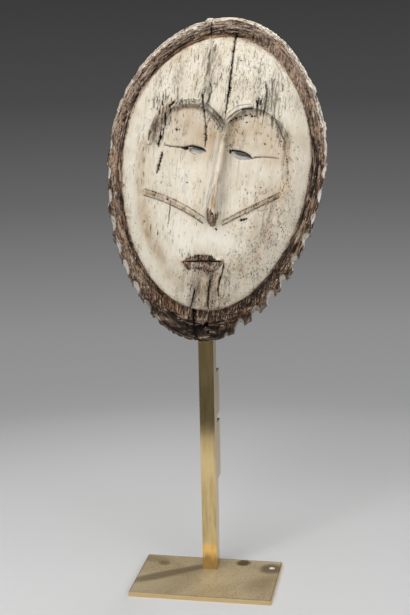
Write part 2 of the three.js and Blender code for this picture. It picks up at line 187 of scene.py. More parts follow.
def ovalReach(u, v, side=0, top=0, bottom=0):
    tall = np.where(v > 0, mask["top"] + top, mask["bottom"] + bottom)
    return np.hypot(u / (mask["side"] + side), v / tall)


def domeHeight(u, v):
    reach = np.minimum(1, ovalReach(u, v))
    across = ((u - mask["muzzle"][0]) / mask["muzzleHalf"][0]) ** 2
    upright = ((v - mask["muzzle"][1]) / mask["muzzleHalf"][1]) ** 2
    bulge = mask["rise"] * (1 - reach ** 2) ** mask["fullness"]
    return mask["edge"] + bulge + mask["muzzleRise"] * np.exp(-across - upright)


def sideLine(side, v):
    u, bend, end, drawIn = side
    t = np.clip((bend - v) / (bend - end), 0, 1)
    return u - math.copysign(1, u) * drawIn * t * t


def sideInset(u, v):
    return np.minimum(u - sideLine(mask["sides"][0], v), sideLine(mask["sides"][1], v) - u)


def sunkHeight(u, v):
    t = ramp(-v, -mask["sinkFrom"], -mask["sinkTo"])
    drop = between(mask["sinkDeep"], mask["sinkShallow"], t)
    loss = mask["sinkLoss"] * np.minimum(1, (u / mask["sinkHalf"]) ** 2)
    groove = 1 - np.clip(sideInset(u, v) / mask["valleyWidth"], 0, 1)
    groove = mask["valleyDepth"] * ramp(v, -100, -70) * groove * groove
    return domeHeight(u, v) - drop * (1 - loss) - groove


def hollowHeight(u, v):
    reach = np.minimum(1, ovalReach(u, v, *mask["hollowEdge"]))
    return mask["hollow"] * (1 - reach ** mask["hollowPower"]) ** mask["hollowFullness"]


def browLine(brow, offset=0, steps=26):
    points = []
    for i in range(steps + 1):
        angle = math.radians(between(brow["from"], brow["to"], i / steps))
        outwards = (math.cos(angle) < 0) == (brow["u"] < 0)
        wide = brow["outer"] if outwards else brow["inner"]
        u = brow["u"] + (wide + offset) * math.cos(angle)
        points.append((u, brow["v"] + (brow["rise"] + offset) * math.sin(angle)))
    return points


def sunkOutline():
    left, right = [browLine(brow, -mask["browHalf"]) for brow in brows]
    leftSide, rightSide = mask["sides"]
    leftFrom, rightFrom = mask["sidesFrom"]
    points = left[2:] + right + mask["rightTemple"]
    for v in np.linspace(rightFrom, rightSide[2], mask["sidePoints"]):
        points.append((float(sideLine(rightSide, v)), v))
    for v in np.linspace(leftSide[2], leftFrom, mask["sidePoints"]):
        points.append((float(sideLine(leftSide, v)), v))
    return (points + mask["leftTemple"])[::-1]


def smoothLoop(corners, steps=3):
    points = []
    count = len(corners)
    for i in range(count):
        a, b, c, d = (np.array(corners[(i + k) % count]) for k in (-1, 0, 1, 2))
        square, cube = 2 * a - 5 * b + 4 * c - d, 3 * b - a - 3 * c + d
        for t in (k / steps for k in range(steps)):
            points.append(tuple((2 * b + (c - a) * t + square * t ** 2 + cube * t ** 3) / 2))
    return points


eyes = [smoothLoop(corners) for corners in eyeCorners]


# Cuts in the surface: a line of points, half its width, its depth and how dark it has gone

cracks = [
    # the long split of the forehead, and those of the chin
    ([(4.4, 121), (3.6, 98), (4.1, 72), (3.5, 40)], 1.15, 7, 1),
    ([(18.8, -94.6), (18.7, -102.5), (17.5, -108.7), (16.3, -114.9), (16.2, -123.1),
     (17.8, -130)], 1, 4, 1),
    ([(7.7, -113), (7.4, -128), (8.9, -144.5)], 1.05, 4, 1),
    ([(-6.2, -125), (-6.4, -132), (-8.2, -143), (-7.6, -147)], 1, 5, 1),
    # the left brow, temple and cheek
    ([(-19.4, 58), (-18.9, 53), (-17.4, 45.8), (-15.3, 36.8), (-13.3, 27.8), (-12.1, 18.6),
     (-12.2, 11)], 1.05, 2.4, 1),
    ([(-19.8, 58.5), (-19, 54)], 1.1, 2.6, 1), ([(-52.9, 38), (-52.3, 31), (-51.6, 25)], 0.95, 3, 1),
    ([(-52.9, 23), (-52.3, 17.4)], 0.9, 2.5, 0.95),
    ([(-54.5, 16.2), (-55.3, 10.5), (-56.1, 4.8)], 1.6, 4.2, 1),
    ([(-51.3, 0.7), (-52, -5), (-53.2, -11.8), (-54.2, -19.4)], 1.5, 3.8, 1),
    ([(-44.8, 49), (-49.7, 42.9)], 1.4, 2.5, 1), ([(-48.2, 42.8), (-47.8, 38.4)], 0.9, 2, 0.95),
    ([(-54.6, 52.4), (-54.2, 49.6)], 0.8, 2, 0.95), ([(-52.9, 52.6), (-52.6, 50.8)], 0.7, 1.5, 0.9),
    ([(-57, 48.6), (-56.6, 43.8)], 0.9, 2, 0.9), ([(-58.3, 38.4), (-57.9, 34.6)], 0.8, 2, 0.9),
    ([(-65.2, 50.4), (-63.8, 39.4)], 0.75, 1.4, 0.7),
    ([(-61.1, 34.1), (-63.2, 27.3), (-65.9, 17.7), (-66, 10.2)], 0.7, 1.2, 0.65),
    ([(-38, -43.2), (-37.8, -65)], 0.6, 1.6, 0.8),
    # the lines that run out from the eyes, and the upper lids
    ([(-32.6, 7.7), (-37.2, 7.1), (-42.9, 6.9), (-49.6, 7.4)], 0.95, 1.6, 0.95),
    ([(32.9, 4.9), (36.5, 6.2), (42, 7.3)], 0.95, 1.6, 0.9),
    ([(42, 7.3), (49.5, 7.8), (57.1, 7.7)], 0.8, 1.3, 0.8),
    ([(-34.8, 6.9), (-31.6, 7.8), (-28, 8.8), (-23.3, 9.7), (-18.5, 9.3), (-13.7, 8.1),
     (-10.6, 6.2)], 1.35, 1.8, 1),
    ([(-34, 7.4), (-27.2, 6.6)], 2, 1.6, 1), ([(-27, 4.8), (-22.6, 3), (-19, 1.8)], 0.6, 0.9, 0.55),
    ([(12, 9.4), (16.2, 10.2), (21, 10.1), (25.8, 9.2), (30.3, 7.2), (33.2, 4.4)], 1.3, 1.8, 1),
    ([(11.6, 10.8), (12.2, 7)], 1.4, 1.8, 1),
    # the right brow, the splits above it and the fibres over its worn end
    ([(-11.3, 68.7), (-7.6, 69.1)], 0.55, 0.9, 0.75), ([(-20.3, 124), (-18.9, 111.4)], 0.7, 2.5, 0.95),
    ([(4, 42.4), (8.2, 46.4), (12.3, 50.4), (18.5, 53.1), (26.7, 54.5)], 0.55, 0.9, 0.6),
    ([(5.5, 37.6), (8.7, 41.7), (12.9, 45.8), (17.2, 48.6)], 0.85, 1.4, 0.75),
    ([(16.6, 48.4), (22.5, 49.9), (28.9, 51.4)], 1.2, 1.8, 0.95),
    ([(31.4, 57.4), (31.9, 53.2)], 1.3, 2.5, 1), ([(32.4, 61.2), (32.7, 55.5)], 0.9, 2, 0.95),
    ([(34.6, 59.6), (34.1, 54.2)], 1, 2, 0.95), ([(30.7, 51.6), (32.4, 46), (33.8, 41.7)], 0.8, 1.5, 0.7),
    ([(46.7, 47), (46.9, 41.2), (48.4, 34.4)], 0.9, 1.2, 0.6),
    ([(49.6, 44.5), (53.7, 37.4), (57.7, 30.3), (61.4, 24.8)], 0.9, 1.4, 0.65),
    ([(52.3, 43), (57.4, 36.1), (62, 27.9)], 0.8, 1.2, 0.55),
    ([(55, 41.7), (60.1, 34.7), (64.7, 27.1)], 0.7, 1, 0.45),
    ([(50.6, 41.7), (52.7, 36.1), (54.4, 31.7)], 0.7, 1.1, 0.55),
    ([(36.4, 77), (38.8, 69.2), (39.3, 61.1), (38.8, 53), (38.2, 44.8)], 1.3, 1.9, 0.85),
    ([(41.8, 81.1), (44.1, 69.8), (44.6, 58.3), (45.1, 49.2)], 0.9, 1.4, 0.65),
    ([(46.7, 71.3), (48.3, 63.4), (48.6, 51.9)], 0.8, 1.2, 0.55),
    ([(41.2, 70.6), (41.8, 60.3), (41.8, 49.9)], 0.8, 1.2, 0.6),
    ([(31.1, 79.8), (32.6, 74.2)], 0.8, 1.2, 0.6),
    ([(52.5, 76.7), (53.7, 74.3), (53.2, 68.6)], 0.9, 1.2, 0.7),
    ([(56.6, 65.6), (58.2, 53)], 0.6, 0.9, 0.5), ([(35.2, 60.7), (35.8, 52.6), (35.9, 44.6)], 1, 1.4, 0.75),
    ([(30.8, 59), (32.2, 49.9)], 1.2, 2, 0.9),
    # short splits all over the forehead
    ([(-18, 101.1), (-17.8, 93), (-17.7, 81.4), (-18.6, 74.9)], 0.85, 1.3, 0.7),
    ([(-13.3, 105.2), (-13.7, 97.8)], 0.8, 1.2, 0.65),
    ([(-14.4, 69.7), (-11.8, 64.8), (-13, 56), (-14.6, 50.1)], 1, 1.4, 0.85),
    ([(-26.2, 72.3), (-27.2, 59.5)], 0.7, 1.1, 0.6), ([(-44.2, 62.5), (-41.9, 49.7)], 0.7, 1.1, 0.6),
    ([(-59.7, 48.2), (-60.8, 38.2)], 0.7, 1.1, 0.55), ([(-54.9, 59.8), (-53.9, 45.4)], 0.8, 1.3, 0.7),
    ([(-23, 92.4), (-23.7, 82.2)], 0.7, 1.1, 0.5), ([(9.3, 96.2), (8.5, 81.6)], 0.6, 1, 0.45),
    ([(42.9, 96.1), (48.2, 89.5), (53.8, 80)], 0.6, 1, 0.5), ([(-52.2, 81.9), (-53.4, 73)], 0.7, 1, 0.5),
    ([(56.3, 83.3), (59.9, 73.5)], 0.6, 0.9, 0.5),
    # the left brow's two ends, the nose and beside the mouth
    ([(-4.4, 34.2), (-1.2, 29.2), (1.3, 25.9)], 0.5, 0.8, 0.5),
    ([(-15.2, 50.6), (-10, 46.6), (-4, 42), (1.2, 37), (4.8, 32.2)], 0.8, 1.3, 0.75),
    ([(-14, 45.2), (-9, 41), (-3.6, 36.4), (1.6, 30.4)], 0.75, 1.2, 0.7),
    ([(-44, 44.8), (-47.6, 40.6), (-49.4, 35)], 0.9, 1.4, 0.7),
    ([(-57, 33), (-60, 27), (-61.4, 19)], 0.8, 1.3, 0.6),
    ([(0.5, 20), (0.9, 12), (0.3, 6)], 0.5, 0.8, 0.35),
    ([(-3.5, -46), (-4.2, -36), (-2.6, -20)], 0.45, 0.8, 0.55),
    ([(4.6, -52), (4.4, -40), (4.8, -28), (4, -12)], 0.4, 0.7, 0.4),
    ([(1.4, -51), (1.6, -42), (1.2, -30)], 0.4, 0.7, 0.4), ([(21.4, -88), (23.6, -84.4)], 0.6, 1, 0.6),
    ([(24.8, -98), (25.4, -94)], 0.5, 0.8, 0.5),
]
holes = [  # worm and knot holes: place and half width
    (-40.1, 23.1, 1.2), (-41.2, 23.3, 0.8), (-24.8, -24.6, 0.9), (44.5, -21.1, 0.8), (7.2, -64.3, 0.9),
    (8.2, -65, 0.8), (30.2, -53.4, 1.7), (32.6, -52.6, 1.6), (34.8, -51.6, 1.2), (42.8, -58.5, 0.8),
    (68.5, -56.3, 0.8), (-41.2, -42.3, 1.4), (5.1, 66.9, 1.4), (5.4, 64.8, 0.9), (43.3, 19.6, 1.0),
    (22.4, 43.8, 1.2), (13.6, 40.2, 1.3), (9.4, 37.2, 1.1), (17.9, 42.2, 0.9), (28.2, 43.6, 1.3),
    (30.6, 43.8, 0.9), (11.6, 38.9, 0.9), (24.1, 37.4, 0.9), (26.4, 45.4, 0.8), (-16, 107, 0.7),
    (11.8, 93, 0.8), (57.4, 12, 0.6), (59.3, 27.1, 0.7), (58, 23.6, 0.8), (2.5, -49.5, 1),
    (6.8, -53.6, 0.8),
]
dashZones = [  # splits along the grain: low and high u, low and high v, how many, lengths, half, dark
    (-62, -22, 50, 106, 60, (2, 9), 0.36, 0.62), (-24, 4, 48, 108, 70, (2, 9), 0.38, 0.62),
    (6, 34, 52, 106, 60, (2, 7), 0.38, 0.5), (30, 52, 42, 98, 56, (5, 22), 0.42, 0.46),
    (48, 70, 10, 80, 30, (3, 12), 0.34, 0.35), (-23, -12, 54, 106, 34, (4, 16), 0.5, 0.55),
    (-62, -44, 8, 54, 26, (2, 7), 0.5, 0.7), (-70, -8, -62, 6, 90, (2, 6), 0.3, 0.4),
    (8, 68, -50, 6, 40, (2, 5), 0.3, 0.4), (-84, -68, -70, 50, 46, (2, 7), 0.34, 0.35),
    (-50, 40, -124, -60, 60, (1.5, 4), 0.32, 0.45), (-12, 28, -141, -104, 40, (2, 6), 0.36, 0.75),
    (-16, 9, -95.5, -90.5, 16, (3, 5), 0.6, 0.8), (-15, 10, -106, -99.5, 14, (3, 5), 0.6, 0.75),
    (-2, 7, -55, -8, 16, (4, 16), 0.36, 0.35), (55, 78, -70, 0, 30, (1.5, 4), 0.3, 0.45),
    (-46, -38, 38, 52, 8, (2, 5), 0.5, 0.7), (-66, -50, 12, 50, 34, (4, 13), 0.5, 0.7),
    (-14, 4, 28, 46, 16, (2, 6), 0.5, 0.7), (-44, -18, 44, 53, 16, (1.5, 4), 0.4, 0.6),
    (-62, -30, -76, -38, 24, (2, 7), 0.42, 0.7), (-80, -66, -50, 10, 16, (2, 6), 0.4, 0.6),
]
fleckZones = [  # specks of flaked-off clay: low and high u, low and high v, how many, half width
    (-72, 72, -118, 96, 150, 0.42), (26, 80, -112, -18, 420, 0.45), (-14, 28, -142, -104, 200, 0.5),
    (4, 22, 14, 42, 36, 0.5), (-12, 3, 18, 44, 30, 0.5), (60, 72, -26, 26, 44, 0.5),
    (40, 62, -80, -26, 70, 0.42), (12, 34, -110, -86, 26, 0.45), (-26, -20, -96, -84, 9, 0.7),
    (-62, -44, 20, 54, 30, 0.55), (8, 58, 8, 44, 46, 0.5), (-44, -10, 10, 44, 30, 0.42),
    (20, 60, 50, 100, 50, 0.42),
]
dotRows = [  # dots pressed in rows: a line, the gap between dots and half their width
    ([(-43.7, 46.9), (-37.9, 50.2), (-30.1, 52.4), (-22.4, 51.8), (-18.4, 49.4)], 1.7, 0.8),
    ([(-43.5, 45.4), (-37.9, 48.4), (-30.1, 50.5), (-22.4, 49.9), (-18.2, 47.6)], 1.9, 0.8),
    ([(-43.2, 44), (-37.9, 46.8), (-30.1, 48.8), (-22.6, 48.2), (-18, 45.6)], 2.1, 0.7),
    ([(-13.1, 41.7), (-8.9, 38.5), (-4.7, 34.4), (-1.2, 29.2), (1.3, 25.9)], 1.9, 0.6),
    ([(-14.4, 38), (-10, 34.6), (-6.4, 30)], 2.6, 0.55),
    ([(7, 33.6), (9.2, 37.2), (13.4, 40.5), (17.9, 42.6), (22.4, 43.8), (28, 44.2)], 2.0, 0.75),
    ([(9, 33), (12.6, 37.4), (18, 40), (24, 41.4)], 2.4, 0.55),
    ([(-62, -39.6), (-52, -40.4), (-41.8, -42.9), (-27.7, -48.2), (-13.5, -54.8)], 2.4, 0.6),
    ([(16, -54.8), (25.6, -48.8), (36.9, -41.2), (48, -34.2)], 2.4, 0.55),
    ([(62.4, 24.7), (62.6, 16.3), (65.6, 7.3), (67.8, -1.9), (68.3, -13.1), (66.7, -22.7)], 2.2, 0.65),
]
tints = {  # what lies on the surface, and in places painted light and shade: a line, half its width and how much
    "grime": (
        ([(-43.7, 45.7), (-37.9, 48.7), (-30.1, 50.8), (-22.4, 50.1), (-17.6, 47.4)], 3.4, 0.5),
        ([(-15.4, 48.1), (-8.3, 43.2), (-2.1, 38.4), (3.4, 32.8), (5.6, 29.5)], 3.3, 1.0),
        ([(-49, 43.5), (-56, 36), (-60, 27), (-62, 13)], 3.8, 0.75), ([(-48, 33), (-54, 22)], 3, 0.5),
        ([(39.5, 80), (39.5, 64), (38.4, 44)], 2, 0.4), ([(45, 84), (44.9, 66), (45, 42)], 2, 0.3),
        ([(30, 88), (31, 70), (33, 46)], 3.5, 0.22), ([(-17.5, 108), (-16.4, 84), (-15, 60)], 2.6, 0.55),
        ([(-12.8, 80), (-12, 66), (-12.6, 50)], 2, 0.6), ([(-44, 96), (-43, 80), (-46, 66)], 4, 0.2),
        ([(46.7, 44.2), (55.7, 34.4), (62.6, 24.6)], 5.2, 0.75),
        ([(7, 36), (13, 43), (20, 46.6), (29, 47.4)], 3.6, 0.6), ([(4.2, 36), (4.2, 22)], 3, 0.5),
        # the broad patches on the chin, on this line and the next, are partly grime and partly painted shade
        # where the chin faces down
        ([(10, 24), (12, -20), (12, -48)], 5, 0.3), ([(6, -108), (6, -124), (8, -142)], 15, 0.7),
        ([(-8, -120), (-9, -142)], 10, 0.45), ([(30, -118), (46, -98), (58, -74)], 12, 0.2),
        ([(52, -28), (53, -50), (48, -76)], 8, 0.16),
        ([(63, 24), (66, 7), (68, -10), (66.5, -24)], 2.6, 0.3),
        ([(56, -34), (53, -56), (47, -78), (36, -98)], 9, 0.1),
        ([(-68.5, -36), (-63.5, -56), (-58, -72), (-51, -84), (-40, -100)], 5, 0.16),
        ([(-1.8, -49), (-1.6, -34), (-0.4, -12)], 0.9, 0.6), ([(6.6, -46), (6.4, -20)], 0.7, 0.4),
    ),
    "stain": (
        # the broad one on the chin is partly stain and partly painted shade where the chin faces down
        ([(-49, 43.5), (-56, 36), (-60, 27), (-62, 13)], 5, 0.6), ([(6, -112), (8, -142)], 16, 0.7),
        # these three run down the valleys beside the cheeks: partly stain, partly painted shade in the
        # hollows
        ([(63, 24), (66, 7), (68, -10), (67, -30), (62, -50), (58, -70), (50, -88)], 4.5, 0.5),
        ([(54, -26), (54, -46), (48, -72), (36, -98)], 11, 0.45),
        ([(-70, 6), (-70.5, -12), (-68.5, -36), (-63.5, -56), (-58, -72), (-51, -84),
         (-44, -96)], 5.5, 0.8),
        ([(-46, -92), (-36, -108), (-20, -122)], 7, 0.35),
        ([(-44.4, 36), (-41.4, 41.6), (-34.2, 44.8), (-24.8, 45.5), (-17.9, 42.6)], 1.5, 0.85),
        ([(-9, 38), (-6, 22), (-5, 8)], 5, 0.5), ([(10, 34), (13, 22), (13, 10)], 6, 0.4),
        ([(8, 38), (16, 44), (28, 47)], 4, 0.5), ([(4.4, -49), (4.6, -28), (5, -6), (5.4, 20)], 1.3, 1.0),
        ([(0.6, -49), (0.6, -30), (1.6, -8), (2.8, 24)], 0.9, 0.9),
        ([(2.4, -48), (2.6, -30), (3.2, -12)], 2, 0.8),
        ([(-65, -38.4), (-53.7, -39.6), (-41.8, -42.7), (-27.7, -48), (-13.5, -54.6)], 3, 1.0),
        ([(13, -57.8), (25.6, -49.5), (36.9, -41.7), (50.9, -32.8), (61.5, -26.7)], 2.8, 1.0),
        ([(-20, -101), (-14, -107), (0, -109), (14, -105)], 3, 0.5), ([(-24, -99), (24, -92)], 5, 0.25),
        # broad under both brows: partly stain, partly painted shade beneath the brows
        ([(-44, 28), (-20, 28), (-16, 14)], 13, 0.45), ([(16, 34), (38, 30), (56, 14)], 13, 0.45),
        ([(-12, -48), (-7, -60), (6, -66)], 4, 0.3), ([(-64, 64), (-58, 80), (-40, 100)], 4, 0.25),
        ([(-44, 98), (-36, 76)], 15, 0.18), ([(-14, 104), (-6, 76)], 12, 0.12),
        ([(75, 40), (80, 0), (74, -50)], 5, 0.2),
    ),
    "pale": (
        # the second runs along the field's left flank: a painted highlight where it faces the light
        ([(36, 96), (38, 70)], 9, 0.6), ([(-77, 24), (-80, -20), (-74, -60)], 5, 0.5),
        ([(2.5, -49), (3, -56), (4, -61)], 4, 1.0), ([(7.4, -48), (7.2, -34), (6.8, -22)], 1.5, 1.0),
        # these two lighten the nose's left flank and its ridge: painted highlight
        ([(-4.6, -44), (-3, -22)], 1.4, 0.9), ([(2, 14), (0, -10), (-1, -30)], 4, 0.8),
        ([(-30, -66), (-22, -84)], 10, 0.9), ([(-12, -72), (14, -74), (30, -80)], 10, 0.9),
        ([(-40, -20), (-24, -34)], 10, 0.4), ([(-14, -103), (14, -102)], 4, 0.7),
        ([(-8, -100.6), (4, -100.4), (14, -99.4)], 2.4, 1.0), ([(11, -94), (19, -93.6)], 2.6, 1.0),
    ),
    "rust": (
        ([(2.5, -50), (3, -56), (4, -61)], 4, 1.0), ([(-18, -101), (-12, -104.6)], 2.8, 1.0),
        ([(-21, -98), (-14, -96.4), (-8, -96)], 1.6, 1.0), ([(12, -102), (17, -98)], 2.4, 0.9),
    ),
    "dark": (
        ([(-15, 48), (-8.3, 43.4), (-2.1, 38.6), (4, 32)], 2.4, 0.45),
        ([(7, 36.6), (13, 43.6), (20, 47.4)], 1.6, 0.35), ([(-2.4, -49), (0.6, -58)], 1.2, 0.35),
        ([(5.8, -49), (4.8, -57)], 1.1, 0.4), ([(-17, -94.4), (-13, -93.6)], 1.6, 0.5),
        ([(-9, -92.8), (-2, -91.4), (5, -91.2)], 2.5, 0.95), ([(8.4, -90.8), (9.4, -93)], 1.3, 0.6),
        ([(-6, -103.2), (-2, -103.6)], 1.4, 0.8), ([(1.5, -103.6), (3, -103.8)], 1.1, 0.7),
        ([(6.5, -104.2), (10.2, -104.2)], 1.6, 0.8),
    ),
}


def seededCuts():  # splits, specks and dots, each a short cut along the grain
    rng = np.random.default_rng(11)
    cuts = []
    for lowU, highU, lowV, highV, count, lengths, half, dark in dashZones:
        for _ in range(count):
            u, v = rng.uniform(lowU, highU), rng.uniform(lowV, highV)
            length, skew = rng.uniform(*lengths), rng.uniform(-0.1, 0.1)
            wide, bend = half * rng.uniform(0.7, 1.4), rng.uniform(-0.05, 0.05) * length
            line = [
                (u, v + length / 2), (u + skew * length + bend, v), (u + 2 * skew * length, v - length / 2)]
            cuts.append((line, wide, 1.8 * wide, dark * (0.35 + 1.3 * rng.random() ** 2)))
    for lowU, highU, lowV, highV, count, half in fleckZones:
        for _ in range(count // 3):
            u, v = rng.uniform(lowU, highU), rng.uniform(lowV, highV)
            for _ in range(3):  # they come in small groups
                cuts.append(speck(rng, u, v, half, 0.7))
                u, v = u + rng.normal(0, 2.6), v + rng.normal(0, 3.4)
    for line, gap, half in dotRows:
        for (ax, ay), (bx, by) in zip(line[:-1], line[1:]):
            count = max(1, round(math.hypot(bx - ax, by - ay) / gap))
            for i in range(count):
                t = (i + rng.uniform(0.2, 0.8)) / count
                if rng.random() < 0.8:
                    cuts.append(speck(rng, between(ax, bx, t), between(ay, by, t), half, 0.85))
    return [c for c in cuts if ovalReach(np.array(c[0][0][0]), np.array(c[0][0][1])) < 0.975]


def speck(rng, u, v, half, dark):
    wide, length, skew = half * rng.uniform(0.65, 1.35), rng.uniform(0.4, 1.9), rng.uniform(-0.35, 0.35)
    line = [(u, v + length / 2), (u + skew * length, v - length / 2)]
    return line, wide, 1.7 * wide, dark * rng.uniform(0.5, 1.3)


def carvedLines():  # the lines along both edges of the cheek bands, worn away in places
    rng = np.random.default_rng(4)
    lines = []
    for start, end, bow, half, _ in cheeks:
        for way in (-1, 1):
            line = [(u, v + way * half) for u, v in bowed(start, end, bow, 18)]
            for piece in range(0, 18, 2):
                lines.append((line[piece:piece + 3], rng.uniform(0.5, 0.85), 1, rng.uniform(0.5, 1)))
    lines.append((bowed(*mask["mouth"]), 1.1, 3.2, 1))
    lines.append((mask["mouthCorner"], 0.7, 1.2, 0.6))
    lines.append((browLine(brows[0], -3.2)[8:-8], 0.5, 0.5, 0.3))
    return lines


# The front as a height over every point, with what the clay, dirt and wear are like there, and some painted
# light and shade

swell = makeNoise(1)
fibre = makeNoise(2)
patch = makeNoise(3)
carving = {  # in mm
    "heartSoft": (1.6, 5),  # how softly the sunken heart meets the field, low down and at the brows
    "slitRound": (0.6, 0.8),  # how deep and wide the slits' edges are rounded off
    "swell": 0.35, "grain": 0.14, "scales": 0.4,
    "torn": ((-56, 31, 6, 16), (36, 52, 6, 9)),  # where the fibres are torn up: u, v and half sizes
}


def noseHeight(u, v):
    knots = np.array(sorted(nose))
    middle, foot, ridge, low, high = (np.interp(v, knots[:, 0], knots[:, k]) for k in range(1, 6))
    away = np.abs(u - middle)
    flank = high - (high - low) * np.clip((away - ridge) / (foot - ridge), 0, 3)
    flank = flank - 0.7 * np.minimum(1, away / ridge) ** 2
    within = (v > knots[0, 0]) & (v < knots[-1, 0])
    return np.where(within, flank, -50), away, ridge


lipOutline = [
    (-21.8, -99.4), (-19.2, -96.5), (-13.9, -92.4), (-8.4, -90.1), (-0.9, -88.7), (6.6, -88.2), (9.7, -89.8),
    (14.5, -90.2), (18.2, -89.8), (20.4, -92.5), (19.6, -96), (17.3, -98.7), (15, -102.9), (11.5, -105.8),
    (6.8, -106.9), (0.1, -106.7), (-6.7, -105.1), (-15.2, -106.9), (-18.5, -103.4),
]


def cutInto(u, v, cuts, depth, dark):
    for line, half, deep, black in cuts:
        points = np.array(line)
        low, high = points.min(0) - 2.5 * half, points.max(0) + 2.5 * half
        near = np.nonzero((u > low[0]) & (u < high[0]) & (v > low[1]) & (v < high[1]))[0]
        ragged = u[near] + 0.4 * half * patch(u[near] / 0.9, v[near] / 1.6, half)
        away, along = toLine(ragged, v[near], line)
        taper = np.minimum(1, 5 * np.minimum(along, 1 - along) + 0.4)
        share = np.clip(1 - away / (half * taper), 0, 1)
        depth[near] = np.maximum(depth[near], deep * share ** 0.7 * taper)
        dark[near] = np.maximum(dark[near], black * ramp(share, 0, 0.45))


def layTints(u, v, marks):
    streak = np.clip(0.62 + 0.75 * fibre(u / 1.9, v / 17, 8) + 0.4 * patch(u / 3.5, v / 9, 3), 0, 1.5)
    cloud = np.clip(0.72 + 0.35 * patch(u / 7, v / 20, 7) + 0.3 * patch(u / 2, v / 7, 1), 0, 1.4)
    for name, spots in tints.items():
        broken = streak if name == "grime" else cloud
        for line, half, much in spots:
            laid = np.exp(-(toLine(u, v, line)[0] / half) ** 2) * much
            marks[name] = 1 - (1 - marks[name]) * (1 - np.clip(laid * broken, 0, 1))
    return streak, cloud


def carvedForm(u, v):  # the clean carving, and how each point lies to its parts
    dome = domeHeight(u, v)
    at = SimpleNamespace(heart=depthInside(u, v, sunkOutline()), lip=depthInside(u, v, lipOutline))
    softness = between(*carving["heartSoft"], ramp(-v, -24, 6))
    height = between(dome, sunkHeight(u, v), ramp(at.heart, -0.25 * softness, softness))

    at.brow = np.zeros(u.shape)
    for brow in brows:
        away, along = toLine(u, v, browLine(brow))
        fade = np.minimum(1, 7 * np.minimum(along, 1 - along))
        if brow["u"] < 0:  # its outer third is broken away
            fade = fade * between(0.45 + 0.6 * patch(u / 3, v / 5, 4), 1, ramp(along, 0.3, 0.42))
        body = np.clip(1 - (away / (mask["browHalf"] + 0.5)) ** 2, 0, 1)
        height = softMax(height, dome + mask["browLift"] * fade * body ** 0.5 - 12 * (body <= 0), 0.5)
        at.brow = np.maximum(at.brow, np.clip(fade, 0, 1) * ramp(body, 0, 0.5))
    at.band = np.zeros(u.shape)
    for start, end, bow, half, lift in cheeks:
        away, along = toLine(u, v, bowed(start, end, bow))
        body = np.clip(1 - (away / (half + 0.8)) ** 2, 0, 1)
        height = height + lift * ramp(body, 0, 0.75) * np.minimum(1, 10 * np.minimum(along, 1 - along))
        at.band = np.maximum(at.band, ramp(body, 0.1, 0.5))
    ridgeHeight, at.noseAway, at.ridge = noseHeight(u, v)
    height = softMax(height, ridgeHeight, 1.4)
    height = height + mask["lipLift"] * ramp(at.lip, -2, 4.6)
    height = height + 0.5 * ramp(at.lip, -1, 1) * fibre(u / 1.4, v / 6, 9)
    deep, wide = carving["slitRound"]
    for outline in eyes:
        height = height - deep * np.exp(-(depthInside(u, v, outline) / wide) ** 2)
    return height, at


def worn(u, v, height, at):  # hair-thin grain, scales of clay gone with a crisp edge, and dents
    height = height + carving["swell"] * swell(u / 24, v / 34) + carving["grain"] * fibre(u / 1.7, v / 24)
    flaking = 0.35 * ramp(v, 44, 62) + 0.25 * ramp(-v, 108, 124) + 0.3 * at.brow + 0.1
    scale = 0.7 * patch(u / 4.5, v / 19, 5) + 0.5 * fibre(u / 1.8, v / 10, 3)
    at.scaled = ramp(scale, 0.62 - 0.5 * flaking, 0.72 - 0.5 * flaking)
    height = height - carving["scales"] * at.scaled
    for middleU, middleV, wide, tall in carving["torn"]:
        near = np.exp(-((u - middleU) / wide) ** 2 - ((v - middleV) / tall) ** 2)
        height = height + 0.9 * near * fibre(u / 2, v / 8, 6)

    depth = np.zeros(u.shape)
    at.dark = np.zeros(u.shape)
    cutInto(u, v, cracks + carvedLines() + seededCuts(), depth, at.dark)
    for holeU, holeV, half in holes:
        near = np.nonzero((np.abs(u - holeU) < 2 * half) & (np.abs(v - holeV) < 2 * half))[0]
        away = np.hypot(u[near] - holeU, (v[near] - holeV) * 1.15)
        share = np.clip(1.1 - away * (1 + 0.25 * patch(u[near], v[near], 3)) / half, 0, 1)
        depth[near] = np.maximum(depth[near], 1.4 * half * share ** 0.6)
        at.dark[near] = np.maximum(at.dark[near], ramp(share, 0, 0.45))
    return height - depth


